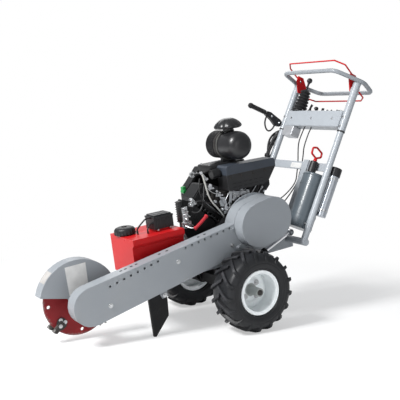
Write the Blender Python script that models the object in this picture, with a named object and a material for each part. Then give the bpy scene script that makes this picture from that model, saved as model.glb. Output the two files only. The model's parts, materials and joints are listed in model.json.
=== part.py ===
"""Walk-behind stump grinder, built as an assembly of separate solids.

Metres, +Z up, the cutter towards -X, the handle towards +X, the belt side
towards -Y. Four local frames carry the pieces:

  machine   on the floor, below the wheel axle
  chassis   close below the wheel axle, pitched down towards the cutter
  boom      on the drive axis, its X running from the cutter to the drive pulley
  handle    at the foot of the posts, its Z running up the posts
"""
import math

import bmesh
import bpy
from mathutils import Matrix, Vector

# ---------------------------------------------------------------- clearances
GAP = 0.0003
SHEET = 0.003
RUN = 0.0008

# ---------------------------------------------------------------- wheels
TYRE_DIAMETER = 0.433
TYRE_WIDTH = 0.184
TYRE_WALL = 0.014
BEAD_RADIUS = 0.106
BEAD_WIDTH = 0.148
RIM_FLANGE_RADIUS = 0.1205
RIM_THICKNESS = 0.004
RIM_DISC_INSET = 0.02
TRACK = 0.667
HUB_RADIUS = 0.023
HUB_FLANGE_RADIUS = 0.052
SPINDLE_RADIUS = 0.016
TYRE_SEGMENTS = 40

# ---------------------------------------------------------------- chassis
CHASSIS_PITCH = math.radians(8.0)
CHASSIS_HEIGHT = 0.2075
FRAME_FRONT = -0.56
FRAME_REAR = 0.455
FRAME_HALF_WIDTH = 0.130
SKIRT_THICKNESS = 0.005
SKIRT_LOW = 0.112
DECK_LOW = 0.165
DECK_HIGH = 0.171
AXLE_BEAM = 0.060
AXLE_BEAM_HALF = 0.172
MOTOR_RADIUS = 0.050
MOTOR_REACH = 0.288
SPINDLE_ENGAGEMENT = 0.030

# ---------------------------------------------------------------- fuel tank
TANK_FRONT = -0.547
TANK_REAR = -0.241
TANK_NEAR = -0.120
TANK_FAR = 0.155
TANK_TOP = 0.374
TANK_WALL = 0.005
TANK_STEP_DEPTH = 0.018
TANK_STEP_TOP = 0.345
CAP_X = -0.505
CAP_Y = 0.055
CAP_RADIUS = 0.0585
CAP_HEIGHT = 0.040
NECK_RADIUS = 0.040
NECK_HEIGHT = 0.014
CANISTER_LOW = (-0.385, -0.065)
CANISTER_HIGH = (-0.270, 0.035)
CANISTER_HEIGHT = 0.078
CANISTER_STAND = 0.012

# ---------------------------------------------------------------- drive
DRIVE_X = 0.144
DRIVE_Z = 0.3055
SHAFT_RADIUS = 0.0175
DRIVE_PULLEY_RADIUS = 0.050
DRIVEN_PULLEY_RADIUS = 0.075
CLUTCH_RADIUS = 0.072
BELT_THICKNESS = 0.009
BELT_WIDTH = 0.034
PIVOT_PLATE_X = 0.190
PIVOT_PLATE_Z = 0.285
PIVOT_PLATE_RADIUS = 0.195
PIVOT_PLATE_THICKNESS = 0.007
TRUNNION_RADIUS = 0.050

# ---------------------------------------------------------------- engine
CRANKCASE_HALF_LENGTH = 0.130
CRANKCASE_NEAR = -0.112
CRANKCASE_FAR = 0.100
CRANKCASE_TOP = 0.405
CRANKCASE_SHOULDER = 0.092
CYLINDER_Y = 0.020
CYLINDER_REACH = 0.265
HEAD_REACH = 0.325
CYLINDER_HALF_WIDTH = 0.062
CYLINDER_HALF_DEPTH = 0.052
CYLINDER_ANGLE = math.radians(45.0)
FIN_COUNT = 6
BLOWER_THICKNESS = 0.060
BLOWER_FRONT = -0.080
BLOWER_REAR = 0.300
SHROUD_FRONT = -0.190
SHROUD_HALF_WIDTH = 0.020
MUFFLER_FRONT = 0.057
MUFFLER_REAR = 0.387
MUFFLER_TOP = 0.652
MUFFLER_LOW = 0.512
MUFFLER_NEAR = -0.130
MUFFLER_FAR = -0.034
TOP_COVER_FRONT = 0.014
TOP_COVER_REAR = 0.250
TOP_COVER_LOW = 0.612
TOP_COVER_HIGH = 0.658
AIR_CLEANER_X = 0.170
AIR_CLEANER_Z = 0.749
AIR_CLEANER_RADIUS = 0.079
AIR_CLEANER_NEAR = -0.155
AIR_CLEANER_SPLIT = 0.035
AIR_CLEANER_FAR = 0.125
RAIN_STACK_Y = -0.020
RAIN_STACK_RADIUS = 0.030
RAIN_CAP_RADIUS = 0.079
RAIN_CAP_LOW = 0.842
RAIN_CAP_HEIGHT = 0.058

# ---------------------------------------------------------------- boom
BOOM_LENGTH = 1.014
BOOM_INBOARD = -0.140
BOOM_DEPTH = 0.0755
BOOM_END_RADIUS = 0.0985
BOOM_REAR_RISE = 0.070
BOOM_WALL = 0.004
BOOM_BACK = 0.008
LID_THICKNESS = 0.004
COVER_DEPTH = 0.075
COVER_RADIUS = 0.123
COVER_FRONT_X = -0.008
COVER_REAR_X = 0.080
COVER_RISE = 0.026
BEARING_RADIUS = 0.050
LEVER_X = 0.2300
LEVER_Z = -0.1290
LEVER_THICKNESS = 0.014
LEVER_EYE_RADIUS = 0.018
LIFT_PIN_RADIUS = 0.008

# ---------------------------------------------------------------- cutter
CUTTER_RADIUS = 0.184
TOOTH_TIP_RADIUS = 0.204
CUTTER_GROUND_GAP = 0.008
CUTTER_THICKNESS = 0.012
CUTTER_Y = -0.026
CUTTER_HUB_RADIUS = 0.045
TOOTH_COUNT = 8
FIRST_TOOTH_ANGLE = 57.3
FAR_TOOTH_LEAD = 7.0
GUARD_RADIUS = 0.2120
GUARD_NEAR = -0.060
GUARD_FAR = 0.015
GUARD_WALL = 0.004
GUARD_EDGE_DROP = 0.035

# ---------------------------------------------------------------- stand leg
LEG_Y = -0.178
LEG_THICKNESS = 0.016
LEG_PIVOT_X = -0.622
LEG_PIVOT_DROP = 0.026
LEG_EAR_THICKNESS = 0.008
LEG_PIN_RADIUS = 0.007
LEG_TOP_AHEAD = 0.088
LEG_TIP_AHEAD = 0.049

# ---------------------------------------------------------------- lift cylinder
LIFT_Y = -0.1950
LIFT_FOOT_X = 0.060
LIFT_FOOT_Z = 0.095
BARREL_RADIUS = 0.021
BARREL_LENGTH = 0.165
ROD_RADIUS = 0.009
ROD_EYE_RADIUS = 0.018
ROD_EYE_CLEARANCE = 0.0048
ROD_INNER_END = 0.100

# ---------------------------------------------------------------- handle
HANDLE_LEAN = math.radians(23.0)
HANDLE_FOOT_X = 0.4232
HANDLE_FOOT_Z = 0.1662
POST_SPACING = 0.540
LOWER_POST_RADIUS = 0.019
UPPER_POST_RADIUS = 0.022
SLEEVE_JOINT = 0.666
POST_OVERLAP = 0.090
RING_HEIGHT = 0.975
RING_TUBE_RADIUS = 0.013
RING_HALF_DEPTH = 0.158
RING_BAR_HALF = 0.2305
RING_HALF_WIDTH = 0.298
RING_TIP_X = 0.021
RING_BEND_RADIUS = 0.055
CROSS_TUBE_RADIUS = 0.020
CROSS_TUBE_HALF = 0.295
CROSSBAR_LOW = 0.424
CROSSBAR_HIGH = 0.471
CROSSBAR_THICKNESS = 0.008
CROSSBAR_FRONT = 0.010
CENTRE_BAR_Y = -0.054
CENTRE_BAR_WIDTH = 0.046
OIL_TANK_X = 0.0325
OIL_TANK_Y = -0.149
OIL_TANK_RADIUS = 0.0750
OIL_TANK_LOW = 0.075
OIL_TANK_TOP = 0.402
OIL_TANK_WALL = 0.003
FILLER_RADIUS = 0.024
FILLER_X = -0.0145
FILLER_Y = -0.152
FILLER_TOP = 0.470
CONSOLE_LOW = 0.688
CONSOLE_HIGH = 0.788
CONSOLE_FRONT = -0.020
CONSOLE_REAR = 0.045
STICK_X = 0.010
STICK_Y = 0.186
STICK_RADIUS = 0.006
KNOB_RADIUS = 0.017
KNOB_HEIGHT = 0.998
BOOT_HEIGHT = 0.148
BOOT_RADIUS = 0.045
BAIL_RADIUS = 0.0045
BAIL_FRONT_X = -0.034
BAIL_FRONT_Z = 0.996
BAIL_REAR_X = 0.036
BAIL_REAR_Z = 0.934
BAIL_KNEE_Y = 0.252
BAIL_BAR_HALF = 0.205
BRACKET_STANDOFF = 0.012
BRACKET_THICKNESS = 0.005
BRACKET_LOW = 0.912
THROTTLE_Y = 0.090
CHOKE_Y = 0.033
KEY_Y = -0.030
DRIVE_LEVER_Z = 0.706
LEVER_GRIP_RISE = 0.010
LEVER_GRIP_TILT = math.radians(3.0)
DIPSTICK_RADIUS = 0.004
DOCUMENT_TUBE_RADIUS = 0.030
DOCUMENT_TUBE_LOW = 0.170
DOCUMENT_TUBE_HIGH = 0.432
DOCUMENT_CAP_HEIGHT = 0.052

# ------------------------------------------------- sizes worked out from these
WHEEL_RADIUS = TYRE_DIAMETER / 2
HALF_TRACK = TRACK / 2
AXLE_X = (WHEEL_RADIUS - CHASSIS_HEIGHT) * math.sin(CHASSIS_PITCH)
AXLE_Z = (WHEEL_RADIUS - CHASSIS_HEIGHT) * math.cos(CHASSIS_PITCH)
DRIVE_WORLD_X = DRIVE_X * math.cos(CHASSIS_PITCH) - DRIVE_Z * math.sin(CHASSIS_PITCH)
DRIVE_WORLD_Z = CHASSIS_HEIGHT + DRIVE_X * math.sin(CHASSIS_PITCH) + DRIVE_Z * math.cos(CHASSIS_PITCH)
CUTTER_WORLD_Z = TOOTH_TIP_RADIUS + CUTTER_GROUND_GAP
BOOM_PITCH = math.asin((DRIVE_WORLD_Z - CUTTER_WORLD_Z) / BOOM_LENGTH)
BOOM_OUTBOARD = BOOM_INBOARD - BOOM_DEPTH
LID_OUTBOARD = BOOM_OUTBOARD - GAP - LID_THICKNESS
BELT_Y = BOOM_INBOARD - BOOM_BACK - 0.5 * (BOOM_DEPTH - BOOM_BACK)


def wipe_scene():
    for item in list(bpy.data.objects):
        bpy.data.objects.remove(item, do_unlink=True)


# ================================================================ materials
def paint(name, colour, roughness, metallic=0.0):
    material = bpy.data.materials.new(name)
    material.use_nodes = True
    shader = material.node_tree.nodes["Principled BSDF"]
    shader.inputs["Base Color"].default_value = (*colour, 1.0)
    shader.inputs["Roughness"].default_value = roughness
    shader.inputs["Metallic"].default_value = metallic
    return material


# ================================================================ mesh helpers
def frame_empty(name, place, pitch, parent=None):
    empty = bpy.data.objects.new(name, None)
    bpy.context.collection.objects.link(empty)
    empty.location = place
    empty.rotation_euler = (0.0, pitch, 0.0)
    empty.parent = parent
    return empty


def add_piece(name, mesh_tool, material, parent, place=(0.0, 0.0, 0.0)):
    """Turns a bmesh, drawn about its own origin, into a named object."""
    bmesh.ops.recalc_face_normals(mesh_tool, faces=mesh_tool.faces)
    mesh = bpy.data.meshes.new(name)
    mesh_tool.to_mesh(mesh)
    mesh_tool.free()
    mesh.materials.append(material)
    mesh.shade_smooth()
    mesh.set_sharp_from_angle(angle=math.radians(35.0))
    piece = bpy.data.objects.new(name, mesh)
    bpy.context.collection.objects.link(piece)
    piece.parent = parent
    piece.location = place
    return piece


def box_bmesh(low, high, centre):
    tool = bmesh.new()
    bmesh.ops.create_cube(tool, size=1.0)
    size = [b - a for a, b in zip(low, high)]
    middle = Vector([(a + b) / 2 for a, b in zip(low, high)]) - Vector(centre)
    bmesh.ops.scale(tool, vec=size, verts=tool.verts)
    bmesh.ops.translate(tool, vec=middle, verts=tool.verts)
    return tool


def block(name, low, high, material, parent, bevel=0.0, segments=2):
    centre = [(a + b) / 2 for a, b in zip(low, high)]
    tool = box_bmesh(low, high, centre)
    if bevel:
        bmesh.ops.bevel(tool, geom=tool.edges[:], offset=bevel, segments=segments, profile=0.5, affect="EDGES")
    return add_piece(name, tool, material, parent, centre)


def prism_bmesh(outline, near, far, axis="Y"):
    """Extrudes an outline: (x, z) points along Y, (y, z) along X, (x, y) along Z."""
    place = {
        "X": lambda a, b, depth: (depth, a, b),
        "Y": lambda a, b, depth: (a, depth, b),
        "Z": lambda a, b, depth: (a, b, depth),
    }[axis]
    tool = bmesh.new()
    corners = [tool.verts.new(place(a, b, near)) for a, b in outline]
    face = tool.faces.new(corners)
    swept = bmesh.ops.extrude_face_region(tool, geom=[face])
    moved = [item for item in swept["geom"] if isinstance(item, bmesh.types.BMVert)]
    bmesh.ops.translate(tool, vec=place(0.0, 0.0, far - near), verts=moved)
    return tool


def prism(name, outline, near, far, material, parent, place=(0.0, 0.0, 0.0), axis="Y"):
    return add_piece(name, prism_bmesh(outline, near, far, axis), material, parent, place)


def turn_to(axis):
    return {
        "X": Matrix.Rotation(math.radians(90.0), 4, "Y"),
        "Y": Matrix.Rotation(math.radians(-90.0), 4, "X"),
        "Z": Matrix.Identity(4),
    }[axis]


def turned_bmesh(profile, axis="Y", segments=24, closed=False):
    """Spins (radius, height) points about an axis; a closed profile makes a ring."""
    tool = bmesh.new()
    points = [tool.verts.new((radius, 0.0, height)) for radius, height in profile]
    pairs = list(zip(points, points[1:]))
    if closed:
        pairs.append((points[-1], points[0]))
    edges = [tool.edges.new(pair) for pair in pairs]
    bmesh.ops.spin(
        tool, geom=points + edges, axis=(0, 0, 1), cent=(0, 0, 0),
        angle=math.tau, steps=segments, use_merge=True,
    )
    bmesh.ops.remove_doubles(tool, verts=tool.verts, dist=1e-6)
    half_step = Matrix.Rotation(math.pi / segments, 4, "Z")
    bmesh.ops.transform(tool, matrix=turn_to(axis) @ half_step, verts=tool.verts)
    return tool


def turned(name, profile, material, parent, place=(0.0, 0.0, 0.0), axis="Y", segments=24, closed=False):
    return add_piece(name, turned_bmesh(profile, axis, segments, closed), material, parent, place)


def disc_profile(radius, low, high):
    return [(0.0, low), (radius, low), (radius, high), (0.0, high)]


def round_bar(name, radius, low, high, material, parent, place=(0.0, 0.0, 0.0), axis="Y", segments=24):
    return turned(name, disc_profile(radius, low, high), material, parent, place, axis, segments)


def clear_of(radius, segments, gap=GAP):
    """Radius of a faceted bore whose flats stay clear of a round of this radius."""
    return (radius + gap) / math.cos(math.pi / segments)


def helper(piece):
    piece.hide_render = True
    piece.display_type = "WIRE"
    return piece


def combine(target, other, operation):
    modifier = target.modifiers.new(operation.lower(), "BOOLEAN")
    modifier.operation = operation
    modifier.object = helper(other)
    modifier.solver = "EXACT"


def weld(target, *others):
    for other in others:
        combine(target, other, "UNION")


def cut(target, *others):
    for other in others:
        combine(target, other, "DIFFERENCE")


def arc(centre, radius, start, stop, steps):
    """Points on an arc in the plane, angles in degrees, both ends included."""
    points = []
    for step in range(steps + 1):
        angle = math.radians(start + (stop - start) * step / steps)
        points.append((centre[0] + radius * math.cos(angle), centre[1] + radius * math.sin(angle)))
    return points


def two_circle_outline(centre_a, radius_a, centre_b, radius_b, steps):
    """Outline of a band stretched round two circles, first circle on the left."""
    across = Vector((centre_b[0] - centre_a[0], centre_b[1] - centre_a[1]))
    heading = math.degrees(math.atan2(across.y, across.x))
    lean = math.degrees(math.acos((radius_a - radius_b) / across.length))
    left = arc(centre_a, radius_a, heading + lean, heading + 360.0 - lean, steps)
    right = arc(centre_b, radius_b, heading - lean, heading + lean, steps)
    return left + right


def rounded_corners(corners, radius, steps, cyclic):
    """Replaces each corner of a route by an arc of the given radius."""
    route = []
    count = len(corners)
    for index, corner in enumerate(corners):
        here = Vector(corner)
        if not cyclic and index in (0, count - 1):
            route.append(here)
            continue
        back = (Vector(corners[index - 1]) - here).normalized()
        ahead = (Vector(corners[(index + 1) % count]) - here).normalized()
        half = back.angle(ahead) / 2
        reach = radius / math.tan(half)
        middle = here + (back + ahead).normalized() * (radius / math.sin(half))
        start = here + back * reach - middle
        stop = here + ahead * reach - middle
        turn = start.angle(stop)
        for step in range(steps + 1):
            share = step / steps
            blend = start * math.sin((1 - share) * turn) + stop * math.sin(share * turn)
            route.append(middle + blend / math.sin(turn))
    return route


def smooth_route(points, per_span):
    """Catmull-Rom curve through the route's own points."""
    knots = [Vector(p) for p in points]
    knots = [2 * knots[0] - knots[1]] + knots + [2 * knots[-1] - knots[-2]]
    route = []
    for a, b, c, d in zip(knots, knots[1:], knots[2:], knots[3:]):
        for step in range(per_span):
            t = step / per_span
            route.append(0.5 * (2 * b + (c - a) * t + (2 * a - 5 * b + 4 * c - d) * t * t
                                + (3 * b - a - 3 * c + d) * t ** 3))
    route.append(knots[-2])
    return route


def tube(name, route, radius, material, parent, place=(0.0, 0.0, 0.0), cyclic=False, resolution=2):
    curve = bpy.data.curves.new(name, "CURVE")
    curve.dimensions = "3D"
    curve.bevel_depth = radius
    curve.bevel_resolution = resolution
    curve.use_fill_caps = True
    spline = curve.splines.new("POLY")
    spline.points.add(len(route) - 1)
    for point, spot in zip(spline.points, route):
        point.co = (*(Vector(spot) - Vector(place)), 1.0)
    spline.use_cyclic_u = cyclic
    curve.materials.append(material)
    piece = bpy.data.objects.new(name, curve)
    bpy.context.collection.objects.link(piece)
    piece.parent = parent
    piece.location = place
    return piece


# ================================================================ wheels
def build_wheel(side, sign, machine, colours):
    """One drive wheel. Heights along its axis grow outwards; sign is -1 on the belt side."""
    axis = frame_empty(side + "_wheel_axis", (0.0, sign * HALF_TRACK, WHEEL_RADIUS), 0.0, machine)
    half_width = TYRE_WIDTH / 2
    half_bead = BEAD_WIDTH / 2
    outer = WHEEL_RADIUS / math.cos(math.pi / TYRE_SEGMENTS)
    section = [
        (BEAD_RADIUS, half_bead), (RIM_FLANGE_RADIUS + 0.002, half_bead),
        (RIM_FLANGE_RADIUS + 0.020, half_width - 0.004), (RIM_FLANGE_RADIUS + 0.045, half_width),
        (outer - 0.022, half_width - 0.006),
        (outer - 0.006, half_width - 0.026), (outer, half_width - 0.050),
    ]
    lining = [
        (outer - TYRE_WALL, half_width - 0.050), (outer - TYRE_WALL - 0.018, half_width - TYRE_WALL - 0.008),
        (BEAD_RADIUS + 0.055, half_width - TYRE_WALL), (BEAD_RADIUS + 0.012, half_bead - TYRE_WALL),
        (BEAD_RADIUS, half_bead - TYRE_WALL),
    ]
    outside = section + [(radius, -height) for radius, height in reversed(section)]
    inside = [(radius, -height) for radius, height in reversed(lining)] + lining
    turned(side + "_tyre", outside + inside, colours["tyre"], axis, segments=TYRE_SEGMENTS, closed=True)

    flange_in = half_bead + GAP
    flange_out = flange_in + RIM_THICKNESS
    barrel = BEAD_RADIUS - 2 * GAP
    wall = barrel - RIM_THICKNESS
    disc_out = RIM_THICKNESS / 2 - RIM_DISC_INSET
    disc_in = disc_out - RIM_THICKNESS
    sleeve_end = flange_out - 0.004
    spindle_end = MOTOR_REACH - SPINDLE_ENGAGEMENT - HALF_TRACK
    profile = [
        (0.0, sleeve_end), (HUB_RADIUS, sleeve_end), (HUB_RADIUS, disc_out + 0.008),
        (HUB_FLANGE_RADIUS, disc_out + 0.008), (HUB_FLANGE_RADIUS, disc_out), (wall, disc_out),
        (wall, flange_out), (RIM_FLANGE_RADIUS, flange_out), (RIM_FLANGE_RADIUS, flange_in),
        (barrel, flange_in), (barrel, -flange_in), (RIM_FLANGE_RADIUS, -flange_in),
        (RIM_FLANGE_RADIUS, -flange_out), (wall, -flange_out), (wall, disc_in),
        (SPINDLE_RADIUS, disc_in), (SPINDLE_RADIUS, spindle_end), (0.0, spindle_end),
    ]
    turned(side + "_rim", [(r, sign * h) for r, h in profile], colours["white"], axis, segments=32)


# ================================================================ chassis
def build_chassis(chassis, colours):
    half = FRAME_HALF_WIDTH
    inner = half - SKIRT_THICKNESS
    section = [
        (-half, SKIRT_LOW), (-inner, SKIRT_LOW), (-inner, DECK_LOW), (inner, DECK_LOW),
        (inner, SKIRT_LOW), (half, SKIRT_LOW), (half, DECK_HIGH), (-half, DECK_HIGH),
    ]
    main_frame = prism("main_frame", section, FRAME_FRONT, FRAME_REAR, colours["silver"], chassis, axis="X")
    socket = clear_of(CROSS_TUBE_RADIUS, 24)
    notch = round_bar("cross_tube_notch", socket, -0.2, 0.2, colours["silver"], chassis,
                      (HANDLE_FOOT_X, 0.0, HANDLE_FOOT_Z))
    cut(main_frame, notch)

    beam = AXLE_BEAM / 2
    carriage = block("axle_carriage", (AXLE_X - beam, -AXLE_BEAM_HALF, AXLE_Z - beam),
                     (AXLE_X + beam, AXLE_BEAM_HALF, AXLE_Z + beam), colours["black"], chassis)
    for sign in (-1, 1):
        top = SKIRT_LOW - GAP
        outline = [(-0.080, top), (0.080, top), (beam - 0.004, -beam + 0.006), (-beam + 0.004, -beam + 0.006)]
        ear = prism("axle_ear", outline, sign * inner, sign * half, colours["black"], chassis)
        bore = clear_of(SPINDLE_RADIUS, 24, RUN)
        housing_start = AXLE_BEAM_HALF - 0.020
        cup = [
            (0.0, housing_start), (MOTOR_RADIUS, housing_start), (MOTOR_RADIUS, MOTOR_REACH - 0.020),
            (MOTOR_RADIUS - 0.014, MOTOR_REACH), (bore, MOTOR_REACH),
            (bore, MOTOR_REACH - SPINDLE_ENGAGEMENT - 0.004), (0.0, MOTOR_REACH - SPINDLE_ENGAGEMENT - 0.004),
        ]
        motor = turned("wheel_motor", [(r, sign * h) for r, h in cup], colours["black"], chassis,
                       (AXLE_X, 0.0, AXLE_Z))
        weld(carriage, ear, motor)
    weld(carriage, round_bar("lift_foot_pin", LIFT_PIN_RADIUS, LIFT_Y - BARREL_RADIUS - 0.004, -inner - 0.002,
                             colours["black"], chassis, (LIFT_FOOT_X, 0.0, LIFT_FOOT_Z), segments=16))


def build_fuel_tank(chassis, colours):
    low = (TANK_FRONT, TANK_NEAR, DECK_HIGH + GAP)
    high = (TANK_REAR, TANK_FAR, TANK_TOP)
    outline = [
        (TANK_NEAR + TANK_STEP_DEPTH, low[2]), (TANK_FAR, low[2]), (TANK_FAR, TANK_TOP), (TANK_NEAR, TANK_TOP),
        (TANK_NEAR, TANK_STEP_TOP), (TANK_NEAR + TANK_STEP_DEPTH, TANK_STEP_TOP - TANK_STEP_DEPTH),
    ]
    tank = prism("fuel_tank", outline, TANK_FRONT, TANK_REAR, colours["red"], chassis, axis="X")
    neck_top = TANK_TOP + NECK_HEIGHT
    neck = round_bar("tank_neck", NECK_RADIUS, -0.02, NECK_HEIGHT, colours["red"], chassis,
                     (CAP_X, CAP_Y, TANK_TOP), axis="Z")
    stand = block("canister_stand", (CANISTER_LOW[0] + 0.01, CANISTER_LOW[1] + 0.01, TANK_TOP - 0.004),
                  (CANISTER_HIGH[0] - 0.01, CANISTER_HIGH[1] - 0.01, TANK_TOP + CANISTER_STAND),
                  colours["red"], chassis)
    weld(tank, neck, stand)
    wall = TANK_WALL
    room = box_bmesh((low[0] + wall, TANK_NEAR + TANK_STEP_DEPTH + wall, low[2] + wall),
                     (high[0] - wall, TANK_FAR - wall, TANK_TOP - wall), (0, 0, 0))
    room = add_piece("tank_room", room, colours["red"], chassis)
    throat = round_bar("tank_throat", NECK_RADIUS - 0.008, -0.03, NECK_HEIGHT + 0.01, colours["red"], chassis,
                       (CAP_X, CAP_Y, TANK_TOP), axis="Z")
    cut(tank, room, throat)

    rim = NECK_RADIUS + 0.001
    cap = [
        (0.0, CAP_HEIGHT), (CAP_RADIUS - 0.010, CAP_HEIGHT), (CAP_RADIUS, CAP_HEIGHT - 0.010),
        (CAP_RADIUS, 0.004), (CAP_RADIUS - 0.003, 0.002), (rim, 0.002), (rim, NECK_HEIGHT + GAP),
        (0.0, NECK_HEIGHT + GAP),
    ]
    turned("fuel_cap", cap, colours["black"], chassis, (CAP_X, CAP_Y, TANK_TOP), axis="Z", segments=28)
    shelf = TANK_TOP + CANISTER_STAND + GAP
    block("vapor_canister", (*CANISTER_LOW, shelf), (*CANISTER_HIGH, shelf + CANISTER_HEIGHT),
          colours["black"], chassis, bevel=0.006)
    front = CANISTER_LOW[0] - GAP - 0.0002
    span = CANISTER_HEIGHT
    upper = [
        (front, -0.030, shelf + 0.82 * span), (front - 0.030, -0.030, shelf + 0.80 * span),
        (front - 0.062, -0.022, shelf + 0.46 * span), (CAP_X + 0.042, CAP_Y - 0.068, TANK_TOP + 0.026),
        (CAP_X + 0.042, CAP_Y - 0.068, TANK_TOP + 0.013),
        (CAP_X + 0.042, CAP_Y - 0.068, TANK_TOP + GAP),
    ]
    tube("vent_hose_upper", smooth_route(upper, 5), 0.0045, colours["rubber"], chassis)
    lower = [
        (front, -0.046, shelf + 0.45 * span), (front - 0.010, -0.046, shelf + 0.45 * span), (front - 0.026, -0.048, shelf + 0.34 * span),
        (front - 0.036, -0.052, shelf + 0.12 * span), (front - 0.037, -0.053, TANK_TOP + 0.012),
        (front - 0.037, -0.053, TANK_TOP + GAP),
    ]
    tube("vent_hose_lower", smooth_route(lower, 5), 0.0045, colours["rubber"], chassis)


# ================================================================ engine
def build_engine(chassis, colours):
    base = DECK_HIGH + GAP
    front = DRIVE_X - CRANKCASE_HALF_LENGTH
    rear = DRIVE_X + CRANKCASE_HALF_LENGTH
    shoulder = CRANKCASE_TOP - CRANKCASE_SHOULDER
    outline = [
        (front, base), (rear, base), (rear, shoulder), (rear - CRANKCASE_SHOULDER, CRANKCASE_TOP),
        (front + CRANKCASE_SHOULDER, CRANKCASE_TOP), (front, shoulder),
    ]
    crankcase = prism("crankcase", outline, CRANKCASE_NEAR, CRANKCASE_FAR, colours["engine"], chassis)
    bore = clear_of(SHAFT_RADIUS, 24, RUN)
    cut(crankcase, round_bar("crank_bore", bore, -0.13, -0.055, colours["engine"], chassis,
                             (DRIVE_X, 0.0, DRIVE_Z)))
    for name, side in (("front", -1), ("rear", 1)):
        build_cylinder(name, side, chassis, colours)

    blower_near = CRANKCASE_FAR + GAP
    front_edge = [
        (0.040, base + 0.018), (-0.040, base + 0.080), (BLOWER_FRONT, 0.400), (BLOWER_FRONT, 0.500),
        (-0.070, 0.538), (-0.040, 0.566), (-0.006, 0.602), (0.030, 0.640),
    ]
    rear_edge = [(0.262, 0.640), (BLOWER_REAR, 0.570), (BLOWER_REAR, 0.400), (0.250, base + 0.018)]
    blower_far = blower_near + BLOWER_THICKNESS
    blower = prism("blower_housing", front_edge + rear_edge, blower_near, blower_far, colours["engine"], chassis)
    outline = [(BLOWER_FRONT + 0.008, 0.396), (BLOWER_FRONT + 0.008, 0.500), (0.032, 0.632), (0.254, 0.632),
               (BLOWER_REAR - 0.008, 0.562), (BLOWER_REAR - 0.008, 0.404), (0.244, base + 0.028), (0.044, base + 0.028)]
    cut(blower, prism("blower_room", outline, blower_near - 0.01, blower_far - SHEET, colours["engine"], chassis))

    face = front - GAP
    outline = [
        (face, base + 0.004), (face, 0.344), (-0.123, 0.481), (SHROUD_FRONT + 0.014, 0.505),
        (SHROUD_FRONT, 0.490), (SHROUD_FRONT, 0.330), (-0.120, base + 0.004),
    ]
    prism("engine_shroud", outline, -SHROUD_HALF_WIDTH, SHROUD_HALF_WIDTH, colours["engine"], chassis)
    cooler_rear = SHROUD_FRONT - GAP
    block("oil_cooler", (cooler_rear - 0.024, -0.045, 0.382), (cooler_rear, -0.003, 0.502), colours["engine"],
          chassis, bevel=0.007)

    outline = [
        (MUFFLER_FRONT, MUFFLER_TOP - 0.010), (MUFFLER_FRONT, MUFFLER_LOW + 0.006),
        (MUFFLER_FRONT + 0.012, MUFFLER_LOW), (MUFFLER_REAR - 0.095, MUFFLER_LOW),
        (MUFFLER_REAR - 0.055, MUFFLER_LOW + 0.014), (MUFFLER_REAR, MUFFLER_LOW + 0.088),
        (MUFFLER_REAR, MUFFLER_TOP - 0.018), (MUFFLER_REAR - 0.010, MUFFLER_TOP - 0.006),
        (MUFFLER_FRONT + 0.010, MUFFLER_TOP),
    ]
    muffler = prism("muffler", outline, MUFFLER_NEAR, MUFFLER_FAR, colours["engine"], chassis)
    room = box_bmesh((MUFFLER_FRONT + SHEET, MUFFLER_NEAR + SHEET, MUFFLER_LOW + SHEET),
                     (MUFFLER_REAR - 0.100, MUFFLER_FAR + SHEET, MUFFLER_TOP - 0.009), (0, 0, 0))
    cut(muffler, add_piece("muffler_room", room, colours["engine"], chassis))
    cover_near = MUFFLER_FAR + GAP
    cover = block("top_cover", (TOP_COVER_FRONT, cover_near, TOP_COVER_LOW),
                  (TOP_COVER_REAR, CRANKCASE_FAR, TOP_COVER_HIGH), colours["engine"], chassis, bevel=0.008)
    column = block("top_cover_column", (DRIVE_X - 0.020, cover_near + 0.010, CRANKCASE_TOP + GAP),
                   (DRIVE_X + 0.020, CRANKCASE_FAR - 0.020, TOP_COVER_LOW + 0.010), colours["engine"], chassis)
    arm = block("lifting_arm", (-0.082, cover_near + 0.010, TOP_COVER_LOW + 0.006),
                (TOP_COVER_FRONT + 0.020, cover_near + 0.034, TOP_COVER_LOW + 0.016), colours["engine"], chassis)
    eye = turned("lifting_eye", [(0.009, -0.004), (0.016, -0.004), (0.016, 0.004), (0.009, 0.004)],
                 colours["steel"], chassis, (-0.090, cover_near + 0.022, TOP_COVER_LOW + 0.014), segments=16, closed=True)
    weld(cover, column, arm, eye)
    outline = [
        (DRIVE_X - 0.036, CRANKCASE_TOP + GAP), (DRIVE_X + 0.036, CRANKCASE_TOP + GAP), (DRIVE_X + 0.036, MUFFLER_LOW - GAP),
        (0.004, MUFFLER_LOW - GAP), (-0.012, 0.478), (0.016, 0.430), (DRIVE_X - 0.036, 0.430),
    ]
    carburettor_far = CYLINDER_Y - CYLINDER_HALF_DEPTH - GAP
    prism("carburettor", outline, carburettor_far - 0.060, carburettor_far, colours["aluminium"], chassis)
    build_air_cleaner(chassis, colours)


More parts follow.
